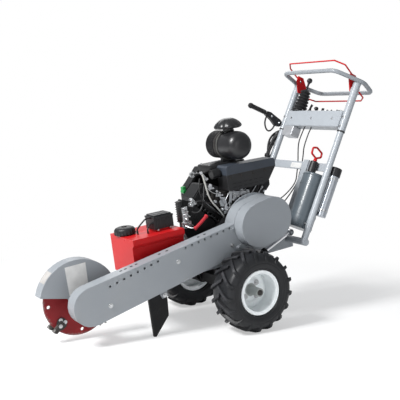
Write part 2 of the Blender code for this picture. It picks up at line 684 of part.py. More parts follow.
def build_cylinder(name, side, chassis, colours):
    """Finned barrel and head, drawn straight up and leaned about the crank axis."""
    foot = (CRANKCASE_HALF_LENGTH + CRANKCASE_TOP - DRIVE_Z - CRANKCASE_SHOULDER) / math.sqrt(2.0) + GAP
    fin_step = (CYLINDER_REACH - foot) / FIN_COUNT
    right = []
    for fin in range(FIN_COUNT):
        start = foot + fin * fin_step
        right += [
            (CYLINDER_HALF_WIDTH, start), (CYLINDER_HALF_WIDTH, start + 0.4 * fin_step),
            (CYLINDER_HALF_WIDTH - 0.016, start + 0.4 * fin_step), (CYLINDER_HALF_WIDTH - 0.016, start + fin_step),
        ]
    right += [
        (CYLINDER_HALF_WIDTH, CYLINDER_REACH), (CYLINDER_HALF_WIDTH, HEAD_REACH - 0.018),
        (CYLINDER_HALF_WIDTH - 0.018, HEAD_REACH),
    ]
    outline = right + [(-a, b) for a, b in reversed(right)]
    barrel = prism(name + "_cylinder", outline, -CYLINDER_HALF_DEPTH, CYLINDER_HALF_DEPTH, colours["engine"],
                   chassis, (DRIVE_X, CYLINDER_Y, DRIVE_Z))
    barrel.rotation_euler = (0.0, side * CYLINDER_ANGLE, 0.0)


def build_air_cleaner(chassis, colours):
    """Canister along Y: a domed body with the inlet stack, a ribbed cover on its far end."""
    place = (AIR_CLEANER_X, 0.0, AIR_CLEANER_Z)
    radius = AIR_CLEANER_RADIUS
    near = AIR_CLEANER_NEAR
    split = AIR_CLEANER_SPLIT
    body = [
        (0.0, near), (radius - 0.045, near + 0.002), (radius - 0.018, near + 0.012), (radius - 0.004, near + 0.030),
        (radius, near + 0.048), (radius, split - 0.008), (radius - 0.003, split - GAP),
        (radius - 0.008, split - GAP), (radius - 0.008, near + 0.050), (0.0, near + 0.050),
    ]
    canister = turned("air_cleaner_body", body, colours["gloss_black"], chassis, place, segments=32)
    saddle = block("air_cleaner_saddle", (AIR_CLEANER_X - 0.045, 0.0, TOP_COVER_HIGH + GAP),
                   (AIR_CLEANER_X + 0.045, split - 0.012, AIR_CLEANER_Z - 0.8 * radius), colours["engine"], chassis)
    stack = round_bar("rain_stack", RAIN_STACK_RADIUS, AIR_CLEANER_Z + 0.8 * radius, RAIN_CAP_LOW, colours["engine"], chassis,
                      (AIR_CLEANER_X, RAIN_STACK_Y, 0.0), axis="Z")
    weld(canister, saddle, stack)
    rib_step = (AIR_CLEANER_FAR - split - 0.026) / 4
    ribs = []
    for rib in range(4):
        start = split + 0.006 + rib * rib_step
        ribs += [(radius - 0.005, start), (radius, start + 0.3 * rib_step), (radius, start + 0.7 * rib_step)]
    cover = [(0.0, split), (radius - 0.005, split)] + ribs
    cover += [(radius - 0.006, AIR_CLEANER_FAR - 0.016), (radius - 0.024, AIR_CLEANER_FAR), (0.0, AIR_CLEANER_FAR)]
    turned("air_cleaner_cover", cover, colours["engine"], chassis, place, segments=32)
    height = RAIN_CAP_HEIGHT
    rain_cap = [
        (0.0, GAP), (0.050, GAP), (RAIN_CAP_RADIUS - 0.004, 0.003), (RAIN_CAP_RADIUS, 0.012),
        (RAIN_CAP_RADIUS - 0.003, 0.020), (0.050, height - 0.012), (0.022, height), (0.0, height),
    ]
    turned("rain_cap", rain_cap, colours["gloss_black"], chassis, (AIR_CLEANER_X, RAIN_STACK_Y, RAIN_CAP_LOW),
           axis="Z", segments=12)


# ================================================================ boom
def boom_outline(margin):
    """Side view of the boom, the given margin inside its outer edge."""
    cover = COVER_RADIUS - margin
    front = arc((-BOOM_LENGTH, 0.0), BOOM_END_RADIUS - margin, 90.0, 270.0, 12)
    rear = arc((COVER_REAR_X, COVER_RISE), cover, -90.0, 90.0, 10)
    top_meets = 180.0 - math.degrees(math.asin((BOOM_REAR_RISE - margin - COVER_RISE) / cover))
    shoulder = arc((COVER_FRONT_X, COVER_RISE), cover, 90.0, top_meets, 5)
    return front + [(COVER_FRONT_X, COVER_RISE - cover)] + rear + shoulder


def cover_outline(margin):
    radius = COVER_RADIUS - margin
    left = arc((COVER_FRONT_X, COVER_RISE), radius, 90.0, 270.0, 10)
    right = arc((COVER_REAR_X, COVER_RISE), radius, -90.0, 90.0, 10)
    return left + right


def build_boom(boom, colours):
    silver = colours["silver"]
    housing = prism("boom_housing", boom_outline(0.0), BOOM_OUTBOARD, BOOM_INBOARD, silver, boom)
    hub_place = (0.0, 0.0, 0.0)
    cutter_place = (-BOOM_LENGTH, 0.0, 0.0)
    trunnion = round_bar("trunnion", TRUNNION_RADIUS, BOOM_INBOARD - 0.004, BOOM_INBOARD + 0.010, silver, boom, hub_place)
    bearing = [
        (0.0, BOOM_INBOARD - 0.004), (BEARING_RADIUS + 0.012, BOOM_INBOARD - 0.004),
        (BEARING_RADIUS + 0.012, BOOM_INBOARD + 0.010), (BEARING_RADIUS, BOOM_INBOARD + 0.012),
        (BEARING_RADIUS - 0.012, GUARD_NEAR - GAP), (0.0, GUARD_NEAR - GAP),
    ]
    bearing = turned("cutter_bearing", bearing, silver, boom, cutter_place)
    lever = build_lift_lever(boom, colours)
    ears = build_leg_ears(boom, colours)
    weld(housing, trunnion, bearing, lever, *ears)
    room = prism("boom_room", boom_outline(BOOM_WALL), BOOM_OUTBOARD - 0.01, BOOM_INBOARD - BOOM_BACK, silver, boom)
    shaft_bore = clear_of(SHAFT_RADIUS, 24, RUN)
    drive_bore = round_bar("drive_bore", shaft_bore, -0.2, 0.0, silver, boom, hub_place)
    cutter_bore = round_bar("cutter_bore", shaft_bore, -0.2, 0.0, silver, boom, cutter_place)
    cut(housing, room, drive_bore, cutter_bore)

    lid = prism("belt_cover", boom_outline(0.0), LID_OUTBOARD, BOOM_OUTBOARD - GAP, silver, boom)
    window = round_bar("clutch_window", CLUTCH_RADIUS + 0.008, -0.3, -0.2, silver, boom, hub_place)
    cut(lid, window)
    outer = LID_OUTBOARD - GAP
    pulley_cover = prism("pulley_cover", cover_outline(0.0), outer - COVER_DEPTH, outer, silver, boom)
    cover_room = prism("pulley_cover_room", cover_outline(BOOM_WALL), outer - COVER_DEPTH + BOOM_WALL, outer + 0.01,
                       silver, boom)
    cut(pulley_cover, cover_room)
    build_belt(boom, colours)
    build_guard(boom, colours)


def build_lift_lever(boom, colours):
    """Arm behind the drive axis that the lift cylinder works on, with its pin."""
    start_x = COVER_REAR_X + 0.070
    start_z = COVER_RISE - math.sqrt((COVER_RADIUS - BOOM_WALL / 2) ** 2 - 0.070 ** 2)
    foot = (COVER_REAR_X, COVER_RISE - COVER_RADIUS + BOOM_WALL / 2)
    knee = (start_x, start_z)
    tip = arc((LEVER_X, LEVER_Z), LEVER_EYE_RADIUS, -110.0, 40.0, 6)
    outline = [foot] + tip + [knee]
    lever = prism("lift_lever", outline, LIFT_Y + 0.016, LIFT_Y + 0.016 + LEVER_THICKNESS, colours["silver"], boom)
    pin = round_bar("lift_pin", LIFT_PIN_RADIUS, LIFT_Y - 0.016, LIFT_Y + 0.020, colours["steel"], boom,
                    (LEVER_X, 0.0, LEVER_Z), segments=16)
    weld(lever, pin)
    return lever


def leg_pivot():
    return (LEG_PIVOT_X, LEG_Y, -BOOM_END_RADIUS - LEG_PIVOT_DROP)


def build_leg_ears(boom, colours):
    pivot = leg_pivot()
    ears = []
    bore = clear_of(LEG_PIN_RADIUS, 16)
    half = LEG_THICKNESS / 2 + GAP
    for sign in (-1, 1):
        near = pivot[1] + sign * half
        far = pivot[1] + sign * (half + LEG_EAR_THICKNESS)
        foot = pivot[2] - 0.016
        outline = [(-0.024, 0.0), (0.024, 0.0), (0.016, foot + BOOM_END_RADIUS), (-0.016, foot + BOOM_END_RADIUS)]
        outline = [(LEG_PIVOT_X + a, b - BOOM_END_RADIUS + BOOM_WALL / 2) for a, b in outline]
        ear = prism("leg_ear", outline, near, far, colours["steel"], boom)
        hole = round_bar("leg_ear_hole", bore, -0.03, 0.03, colours["steel"], boom, pivot, segments=16)
        cut(ear, hole)
        ears.append(ear)
    return ears


def build_belt(boom, colours):
    near = BELT_Y - BELT_WIDTH / 2
    far = BELT_Y + BELT_WIDTH / 2
    small = DRIVE_PULLEY_RADIUS + 2 * GAP
    large = DRIVEN_PULLEY_RADIUS + 2 * GAP
    front = (-BOOM_LENGTH, 0.0)
    outer = two_circle_outline(front, large + BELT_THICKNESS, (0.0, 0.0), small + BELT_THICKNESS, 16)
    inner = two_circle_outline(front, large, (0.0, 0.0), small, 16)
    belt = prism("drive_belt", outer, near, far, colours["rubber"], boom)
    cut(belt, prism("belt_loop_room", inner, near - 0.01, far + 0.01, colours["rubber"], boom))


def build_guard(boom, colours):
    """Half-round guard over the cutter: a side plate towards the belt side and a rim."""
    centre = (-BOOM_LENGTH, 0.0)
    tilt = math.degrees(BOOM_PITCH)
    lift = math.degrees(math.asin(GUARD_EDGE_DROP / GUARD_RADIUS))
    outer = arc(centre, GUARD_RADIUS, -tilt + lift, 180.0 - tilt - lift, 20)
    inner = arc(centre, GUARD_RADIUS - GUARD_WALL, -tilt + lift - 5.0, 185.0 - tilt - lift, 20)
    chin = [(centre[0] + r * math.cos(math.radians(a)), r * math.sin(math.radians(a)))
            for r, a in ((0.068, 147.0), (0.057, 172.0), (0.055, 200.0), (0.055, 230.0), (0.055, 260.0), (0.055, 290.0),
                         (0.055, 320.0))]
    guard = prism("cutter_guard", outer + chin, GUARD_NEAR, GUARD_FAR, colours["silver"], boom)
    room = prism("guard_room", inner + [(centre[0], -0.2)], GUARD_NEAR + GUARD_WALL, GUARD_FAR + 0.01,
                 colours["silver"], boom)
    bore = round_bar("guard_bore", clear_of(SHAFT_RADIUS, 24, RUN), -0.1, 0.0, colours["silver"], boom,
                     (centre[0], 0.0, 0.0))
    cut(guard, room, bore)


# ================================================================ turning drive pieces
def build_drive_shaft(boom, colours):
    """Crankshaft end with the drive pulley and the clutch drum."""
    near = BELT_Y - BELT_WIDTH / 2 - 0.003
    far = BELT_Y + BELT_WIDTH / 2 + 0.003
    clutch_near = LID_OUTBOARD - COVER_DEPTH + BOOM_WALL + 0.008
    profile = [
        (0.0, clutch_near), (0.030, clutch_near), (0.030, clutch_near + 0.010), (CLUTCH_RADIUS, clutch_near + 0.014),
        (CLUTCH_RADIUS, LID_OUTBOARD - 0.004), (DRIVE_PULLEY_RADIUS, LID_OUTBOARD - 0.002),
        (DRIVE_PULLEY_RADIUS, far), (SHAFT_RADIUS, far), (SHAFT_RADIUS, -0.060), (0.0, -0.060),
    ]
    turned("drive_shaft", profile, colours["steel"], boom)


def build_cutter(boom, colours):
    place = (-BOOM_LENGTH, 0.0, 0.0)
    near = BELT_Y - BELT_WIDTH / 2 - 0.003
    far = BELT_Y + BELT_WIDTH / 2 + 0.003
    half = CUTTER_THICKNESS / 2
    tip = DRIVEN_PULLEY_RADIUS
    spindle = [
        (0.0, near - 0.008), (SHAFT_RADIUS, near - 0.008), (SHAFT_RADIUS, near), (tip, near), (tip, far),
        (SHAFT_RADIUS, far), (SHAFT_RADIUS, CUTTER_Y + half + 0.030), (0.0, CUTTER_Y + half + 0.030),
    ]
    turned("cutter_spindle", spindle, colours["steel"], boom, place)
    bore = clear_of(SHAFT_RADIUS, 24)
    disc = [
        (bore, -half - 0.012), (CUTTER_HUB_RADIUS, -half - 0.012), (CUTTER_HUB_RADIUS, -half), (CUTTER_RADIUS, -half),
        (CUTTER_RADIUS, half), (CUTTER_HUB_RADIUS, half), (CUTTER_HUB_RADIUS, half + 0.012), (bore, half + 0.012),
    ]
    disc_place = (place[0], CUTTER_Y, place[2])
    cutter = turned("cutter_disc", disc, colours["dark_red"], boom, disc_place, segments=48, closed=True)
    for tooth in range(TOOTH_COUNT):
        side = 1 if tooth % 2 else -1
        angle = math.radians(FIRST_TOOTH_ANGLE) + math.tau * (tooth // 2) / (TOOTH_COUNT / 2)
        if side > 0:
            angle += math.radians(FAR_TOOTH_LEAD)
        inside = CUTTER_RADIUS - 0.042
        outline = [(inside, -0.016), (TOOTH_TIP_RADIUS - 0.012, -0.018), (TOOTH_TIP_RADIUS, -0.004),
                   (TOOTH_TIP_RADIUS - 0.006, 0.010), (inside, 0.016)]
        near_face = side * (half - 0.003)
        far_face = side * (half + 0.012)
        holder = prism("tooth", outline, near_face, far_face, colours["steel"], boom, disc_place)
        holder.rotation_euler = (0.0, angle, 0.0)
        weld(cutter, holder)


def build_pivot_plate(chassis, colours):
    """Round plate on the engine side that carries the boom's trunnion."""
    near = BOOM_INBOARD + GAP
    far = min(near + PIVOT_PLATE_THICKNESS, -FRAME_HALF_WIDTH - GAP)
    outline = arc((PIVOT_PLATE_X, PIVOT_PLATE_Z), PIVOT_PLATE_RADIUS, -45.0, 225.0, 28)
    half = PIVOT_PLATE_RADIUS * math.cos(math.radians(45.0))
    outline += [(PIVOT_PLATE_X - half, SKIRT_LOW + 0.010), (PIVOT_PLATE_X + half, SKIRT_LOW + 0.010)]
    plate = prism("boom_pivot_plate", outline, near, far, colours["silver"], chassis)
    bore = round_bar("trunnion_bore", clear_of(TRUNNION_RADIUS, 24, RUN), -0.2, -0.1, colours["silver"], chassis,
                     (DRIVE_X, 0.0, DRIVE_Z))
    cut(plate, bore)


# ================================================================ stand leg and lift cylinder
def build_stand_leg(boom, colours):
    """Prop hinged under the boom. Its outline is drawn ahead of and below the pivot."""
    pivot = leg_pivot()
    height = DRIVE_WORLD_Z + pivot[0] * math.sin(BOOM_PITCH) + pivot[2] * math.cos(BOOM_PITCH)
    down = Vector((-math.sin(BOOM_PITCH), -math.cos(BOOM_PITCH)))
    ahead = Vector((-math.cos(BOOM_PITCH), math.sin(BOOM_PITCH)))
    side = [(LEG_TOP_AHEAD, 0.013), (LEG_TIP_AHEAD + 0.006, height), (LEG_TIP_AHEAD - 0.006, height),
            (-0.030, 0.52 * height), (-0.022, 0.022)]
    outline = [tuple(ahead * a + down * b) for a, b in side] + arc((0.0, 0.0), 0.017, -20.0, 100.0, 5)
    half = LEG_THICKNESS / 2
    leg = prism("stand_leg", outline, -half, half, colours["black"], boom, pivot)
    reach = half + LEG_EAR_THICKNESS + 0.004
    pin = round_bar("leg_pin", LEG_PIN_RADIUS, -reach, reach, colours["steel"], boom, pivot, segments=16)
    weld(leg, pin)


def lever_in_chassis():
    """The lever's pin, in the chassis frame."""
    turn = BOOM_PITCH - CHASSIS_PITCH
    x = DRIVE_X + LEVER_X * math.cos(turn) - LEVER_Z * math.sin(turn)
    z = DRIVE_Z + LEVER_X * math.sin(turn) + LEVER_Z * math.cos(turn)
    return x, z


def build_lift_cylinder(chassis, colours):
    """Barrel on the axle carriage's pin, and the rod that works the boom's lever."""
    lever_x, lever_z = lever_in_chassis()
    reach = Vector((lever_x - LIFT_FOOT_X, 0.0, lever_z - LIFT_FOOT_Z))
    lean = math.atan2(reach.x, reach.z)
    axis = frame_empty("lift_cylinder_axis", (LIFT_FOOT_X, LIFT_Y, LIFT_FOOT_Z), lean, chassis)
    bore = clear_of(ROD_RADIUS, 24, RUN)
    profile = [
        (0.0, -0.016), (BARREL_RADIUS, -0.016), (BARREL_RADIUS, BARREL_LENGTH), (bore, BARREL_LENGTH),
        (bore, 0.018), (0.0, 0.018),
    ]
    barrel = turned("lift_cylinder", profile, colours["black"], axis, axis="Z")
    foot_bore = clear_of(LIFT_PIN_RADIUS, 16)
    cut(barrel, round_bar("lift_foot_bore", foot_bore, -0.05, 0.05, colours["black"], axis, segments=16))
    length = reach.length
    rod = round_bar("lift_rod", ROD_RADIUS, ROD_INNER_END - length, 0.002 - ROD_EYE_RADIUS, colours["chrome"], axis,
                    (0.0, 0.0, length), axis="Z")
    eye_bore = clear_of(LIFT_PIN_RADIUS, 16, ROD_EYE_CLEARANCE)
    ring = [(eye_bore, -0.012), (ROD_EYE_RADIUS, -0.012), (ROD_EYE_RADIUS, 0.012), (eye_bore, 0.012)]
    eye = turned("rod_eye", ring, colours["chrome"], axis, (0.0, 0.0, length), segments=16, closed=True)
    weld(rod, eye)


# ================================================================ handle
def build_posts(handle, colours):
    base = round_bar("handle_base", CROSS_TUBE_RADIUS, -CROSS_TUBE_HALF, CROSS_TUBE_HALF, colours["silver"], handle)
    half = POST_SPACING / 2
    for sign, side in ((-1, "left"), (1, "right")):
        foot = (0.0, sign * half, 0.0)
        low = 2 * CROSS_TUBE_RADIUS
        high = SLEEVE_JOINT + POST_OVERLAP
        room = LOWER_POST_RADIUS - SHEET
        tube_wall = [(0.0, 0.0), (LOWER_POST_RADIUS, 0.0), (LOWER_POST_RADIUS, high), (room, high), (room, low), (0.0, low)]
        weld(base, turned("lower_post", tube_wall, colours["silver"], handle, foot, axis="Z"))
        bore = clear_of(LOWER_POST_RADIUS, 24)
        top = RING_HEIGHT - RING_TUBE_RADIUS - GAP
        sleeve = [
            (0.0, top), (UPPER_POST_RADIUS, top), (UPPER_POST_RADIUS, SLEEVE_JOINT), (bore, SLEEVE_JOINT),
            (bore, SLEEVE_JOINT + POST_OVERLAP + GAP), (UPPER_POST_RADIUS - 2 * SHEET, SLEEVE_JOINT + POST_OVERLAP + GAP),
            (UPPER_POST_RADIUS - 2 * SHEET, top - SHEET), (0.0, top - SHEET),
        ]
        upper = turned(side + "_upper_post", sleeve, colours["silver"], handle, foot, axis="Z")
        near = half - UPPER_POST_RADIUS - BRACKET_STANDOFF
        outline = [(-0.046, BAIL_FRONT_Z + 0.012), (-0.046, BAIL_FRONT_Z - 0.020), (-0.010, BRACKET_LOW),
                   (0.050, BRACKET_LOW), (0.056, BAIL_REAR_Z + 0.014), (-0.006, BAIL_FRONT_Z + 0.014)]
        bracket = prism("bail_bracket", outline, sign * near, sign * (near + BRACKET_THICKNESS), colours["red"], handle)
        web = block("bracket_web", (-0.010, min(sign * near, sign * half), BRACKET_LOW),
                    (0.010, max(sign * near, sign * half), BRACKET_LOW + 0.024), colours["red"], handle)
        weld(upper, bracket, web)
        bore = clear_of(BAIL_RADIUS, 12)
        for x, z in ((BAIL_FRONT_X, BAIL_FRONT_Z), (BAIL_REAR_X, BAIL_REAR_Z)):
            cut(upper, round_bar("bail_bore", bore, -0.02, 0.02, colours["red"], handle,
                                 (x, sign * (near + BRACKET_THICKNESS / 2), z), segments=12))


def build_ring(handle, colours):
    corners = []
    for x, y in ((-RING_HALF_DEPTH, RING_BAR_HALF), (RING_TIP_X, RING_HALF_WIDTH), (RING_HALF_DEPTH, RING_BAR_HALF)):
        corners.append((x, y, RING_HEIGHT))
    corners += [(x, -y, z) for x, y, z in reversed(corners)]
    route = rounded_corners(corners, RING_BEND_RADIUS, 5, True)
    tube("handle_ring", route, RING_TUBE_RADIUS, colours["silver"], handle, cyclic=True)


def build_bail(name, pivot, bar, colours, handle):
    """Red rod bail: two pins turned inwards in the brackets, two arms and a bar."""
    near = POST_SPACING / 2 - UPPER_POST_RADIUS - BRACKET_STANDOFF
    pin_in = near - 0.006
    pin_out = near + BRACKET_THICKNESS + 0.0105
    x, z = pivot
    bar_x, bar_z = bar
    knee_x = x + 0.62 * (bar_x - x)
    knee_z = z + 0.80 * (bar_z - z)
    half = [(x, pin_in, z), (x, pin_out, z), (knee_x, BAIL_KNEE_Y, knee_z), (bar_x, BAIL_BAR_HALF, bar_z)]
    corners = half + [(a, -b, c) for a, b, c in reversed(half)]
    route = rounded_corners(corners, 0.008, 3, False)
    tube(name, route, BAIL_RADIUS, colours["red"], handle, (x, 0.0, z))


def build_centre(handle, colours):
    """Cross plate between the posts, centre bar, hydraulic tank and its filler."""
    front = CROSSBAR_FRONT
    rear = front + CROSSBAR_THICKNESS
    half = POST_SPACING / 2 - math.sqrt(LOWER_POST_RADIUS ** 2 - front ** 2) - GAP
    plate = block("crossbar", (front, -half, CROSSBAR_LOW), (rear, half, CROSSBAR_HIGH), colours["silver"], handle)
    bar_near = CENTRE_BAR_Y - CENTRE_BAR_WIDTH / 2
    bar_far = CENTRE_BAR_Y + CENTRE_BAR_WIDTH / 2
    bar = block("centre_bar", (front - CROSSBAR_THICKNESS, bar_near, CROSS_TUBE_RADIUS + GAP),
                (front + 0.002, bar_far, CROSSBAR_HIGH + 0.012), colours["silver"], handle)
    weld(plate, bar)
    for height in (OIL_TANK_LOW + 0.060, OIL_TANK_TOP - 0.070):
        strap = block("tank_saddle", (front - 0.006, bar_near - 0.022, height), (front + 0.016, bar_near + 0.010, height + 0.03),
                      colours["silver"], handle)
        weld(plate, strap)
    clear = clear_of(OIL_TANK_RADIUS, 32)
    cut(plate, round_bar("tank_clearance", clear, OIL_TANK_LOW, OIL_TANK_TOP, colours["silver"], handle,
                         (OIL_TANK_X, OIL_TANK_Y, 0.0), axis="Z", segments=32))
    radius = OIL_TANK_RADIUS
    wall = OIL_TANK_WALL
    low = OIL_TANK_LOW
    top = OIL_TANK_TOP
    profile = [
        (0.0, low), (radius, low), (radius, top - 0.008), (radius - 0.006, top), (0.0, top),
    ]
    oil_tank = turned("hydraulic_tank", profile, colours["grey"], handle, (OIL_TANK_X, OIL_TANK_Y, 0.0), axis="Z",
                      segments=32)
    room = round_bar("oil_tank_room", radius - 3 * wall, low + wall, top - wall, colours["grey"], handle,
                     (OIL_TANK_X, OIL_TANK_Y, 0.0), axis="Z", segments=32)
    mouth = round_bar("oil_tank_mouth", FILLER_RADIUS - 0.010, top - 2 * wall, top + wall, colours["grey"], handle,
                      (FILLER_X, FILLER_Y, 0.0), axis="Z")
    cut(oil_tank, room, mouth)
    stem_bore = clear_of(DIPSTICK_RADIUS, 12, RUN)
    filler = [
        (stem_bore, top + GAP), (FILLER_RADIUS, top + GAP), (FILLER_RADIUS, FILLER_TOP - 0.004),
        (FILLER_RADIUS - 0.004, FILLER_TOP), (stem_bore, FILLER_TOP),
    ]
    turned("filler_cap", filler, colours["black"], handle, (FILLER_X, FILLER_Y, 0.0), axis="Z", closed=True)
    build_dipstick(handle, colours)


def build_dipstick(handle, colours):
    """Dipstick through the filler cap, with a red pull ring."""
    place = (FILLER_X, FILLER_Y, FILLER_TOP)
    stick = turned("dipstick", [(0.0, -0.160), (DIPSTICK_RADIUS, -0.160), (DIPSTICK_RADIUS, GAP), (0.011, GAP),
                                (0.011, 0.012), (0.007, 0.022), (0.0, 0.022)],
                   colours["red"], handle, place, axis="Z", segments=12)
    loop = [(0.0, 0.0, 0.020), (-0.040, 0.0, 0.036), (-0.044, 0.0, 0.070), (-0.016, 0.0, 0.080), (0.031, 0.0, 0.062),
            (0.032, 0.0, 0.036)]
    ring_route = rounded_corners(loop, 0.009, 3, True)
    ring = tube("dipstick_ring", ring_route, 0.006, colours["red"], handle, cyclic=True)
    ring.location = place
    weld(stick, as_mesh(ring, handle, colours["red"], place))


def as_mesh(curve_piece, parent, material, place):
    """Mesh copy of a curve piece, for welding."""
    depsgraph = bpy.context.evaluated_depsgraph_get()
    mesh = bpy.data.meshes.new_from_object(curve_piece.evaluated_get(depsgraph))
    mesh.materials.clear()
    mesh.materials.append(material)
    name = curve_piece.name + "_mesh"
    bpy.data.objects.remove(curve_piece, do_unlink=True)
    piece = bpy.data.objects.new(name, mesh)
    bpy.context.collection.objects.link(piece)
    piece.parent = parent
    piece.location = place
    return piece


def build_console(handle, colours):
    half = POST_SPACING / 2 - UPPER_POST_RADIUS - GAP
    console = block("control_console", (CONSOLE_FRONT, -half, CONSOLE_LOW), (CONSOLE_REAR, half, CONSOLE_HIGH),
                    colours["silver"], handle, bevel=0.004, segments=1)
    bore = round_bar("stick_bore", 0.020, -0.06, 0.02, colours["silver"], handle, (STICK_X, STICK_Y, CONSOLE_HIGH),
                     axis="Z", segments=16)
    wall = SHEET
    room = box_bmesh((CONSOLE_FRONT + wall, -half + wall, CONSOLE_LOW + wall),
                     (CONSOLE_REAR + wall, half - wall, CONSOLE_HIGH - wall), (0, 0, 0))
    cut(console, bore, add_piece("console_room", room, colours["silver"], handle))
    low = CONSOLE_LOW - GAP
    block("valve_block", (CONSOLE_FRONT, half - 0.100, low - 0.062), (CONSOLE_REAR, half - 0.004, low), colours["steel"],
          handle, bevel=0.004, segments=1)
    stick_low = -0.045
    stick = [
        (0.0, stick_low), (STICK_RADIUS, stick_low), (STICK_RADIUS, KNOB_HEIGHT - CONSOLE_HIGH - 0.012),
    ]
    knob = arc((0.0, KNOB_HEIGHT - CONSOLE_HIGH), KNOB_RADIUS, -50.0, 90.0, 8)
    turned("joystick", stick + knob[:-1] + [(0.0, KNOB_HEIGHT - CONSOLE_HIGH + KNOB_RADIUS)], colours["black"], handle,
           (STICK_X, STICK_Y, CONSOLE_HIGH), axis="Z", segments=16)
    folds = 7
    step = (BOOT_HEIGHT - 0.010) / folds
    outside = [(BOOT_RADIUS - 0.004, GAP)]
    for fold in range(folds):
        shrink = 0.014 * fold / folds
        start = 0.004 + fold * step
        outside += [(BOOT_RADIUS - shrink, start + 0.35 * step), (BOOT_RADIUS - 0.012 - shrink, start + 0.85 * step)]
    outside += [(0.018, BOOT_HEIGHT)]
    bore = clear_of(STICK_RADIUS, 16)
    inside = [(bore, BOOT_HEIGHT), (bore, BOOT_HEIGHT - 0.008), (BOOT_RADIUS - 0.020, 0.030), (BOOT_RADIUS - 0.020, GAP)]
    turned("joystick_boot", outside + inside, colours["rubber"], handle, (STICK_X, STICK_Y, CONSOLE_HIGH), axis="Z",
           segments=16, closed=True)

    top = CONSOLE_HIGH + GAP
    mid = (CONSOLE_FRONT + CONSOLE_REAR) / 2
    throttle = prism("throttle_lever", [(-0.008, 0.0), (0.008, 0.0), (0.005, 0.022), (0.012, 0.040), (-0.002, 0.044)],
                     -0.004, 0.004, colours["black"], handle, (mid, THROTTLE_Y, top + 0.009))
    weld(throttle, round_bar("throttle_hub", 0.009, -0.007, 0.007, colours["black"], handle,
                             (mid, THROTTLE_Y, top + 0.009), segments=16))
    turned("choke_knob", [(0.0, 0.0), (0.005, 0.0), (0.005, 0.014), (0.013, 0.018), (0.013, 0.028), (0.009, 0.034),
                          (0.0, 0.034)], colours["black"], handle, (mid, CHOKE_Y, top), axis="Z", segments=16)
    key = turned("ignition_key", [(0.0, 0.0), (0.011, 0.0), (0.011, 0.008), (0.0, 0.008)], colours["black"], handle,
                 (mid, KEY_Y, top), axis="Z", segments=16)
    weld(key, block("key_grip", (mid - 0.003, KEY_Y - 0.009, top + 0.006), (mid + 0.003, KEY_Y + 0.009, top + 0.026),
                    colours["black"], handle))


def build_drive_lever(handle, colours):
    """Long black lever with a grip, on the outer side of the right post."""
    y = POST_SPACING / 2 + UPPER_POST_RADIUS + GAP
    outline = [(0.018, -0.020), (0.022, 0.014), (-0.010, 0.022), (-0.140, LEVER_GRIP_RISE + 0.012)]
    outline += [(-0.140, LEVER_GRIP_RISE - 0.010), (-0.020, -0.018)]
    place = (0.0, y, DRIVE_LEVER_Z)
    lever = prism("drive_lever", outline, 0.004, 0.018, colours["black"], handle, place)
    hub = round_bar("drive_lever_hub", 0.020, 0.0, 0.024, colours["black"], handle, place)
    grip = round_bar("drive_lever_grip", 0.014, -0.130, 0.010, colours["black"], handle,
                     (-0.140, y + 0.012, DRIVE_LEVER_Z + LEVER_GRIP_RISE), axis="X", segments=16)
    grip.rotation_euler = (0.0, LEVER_GRIP_TILT, 0.0)
    weld(lever, hub, grip)


def build_document_tube(handle, colours):
    x = LOWER_POST_RADIUS + DOCUMENT_TUBE_RADIUS + 0.008
    place = (x, -POST_SPACING / 2, 0.0)
    radius = DOCUMENT_TUBE_RADIUS
    wall = 0.003
    low = DOCUMENT_TUBE_LOW
    high = DOCUMENT_TUBE_HIGH
    profile = [(0.0, low), (radius, low), (radius, high), (radius - wall, high), (radius - wall, low + wall),
               (0.0, low + wall)]
    holder = turned("document_tube", profile, colours["aluminium"], handle, place, axis="Z")
    clip = block("document_tube_clip", (LOWER_POST_RADIUS + GAP, place[1] - 0.012, low + 0.02),
                 (x - radius + 0.002, place[1] + 0.012, high - 0.03), colours["black"], handle)
    weld(holder, clip)
    cap_low = high - 0.020
    sleeve = clear_of(radius, 24)
    cap = [
        (0.0, high + GAP), (sleeve, high + GAP), (sleeve, cap_low), (radius + 0.004, cap_low),
        (radius + 0.004, cap_low + DOCUMENT_CAP_HEIGHT - 0.004), (radius, cap_low + DOCUMENT_CAP_HEIGHT),
        (0.0, cap_low + DOCUMENT_CAP_HEIGHT),
    ]
    turned("document_tube_cap", cap, colours["black"], handle, place, axis="Z")


def chassis_in_handle(x, z):
    """A point of the chassis frame, seen in the handle frame."""
    turn = CHASSIS_PITCH + HANDLE_LEAN
    run = x - HANDLE_FOOT_X
    rise = z - HANDLE_FOOT_Z
    return run * math.cos(turn) - rise * math.sin(turn), run * math.sin(turn) + rise * math.cos(turn)


def square_landing(x, y, z, lead=0.040):
    """Last points of a route that meets an upright rear face at right angles."""
    spots = [chassis_in_handle(x + away, z) for away in (lead, lead / 2, 2 * GAP)]
    return [(a, y, b) for a, b in spots]


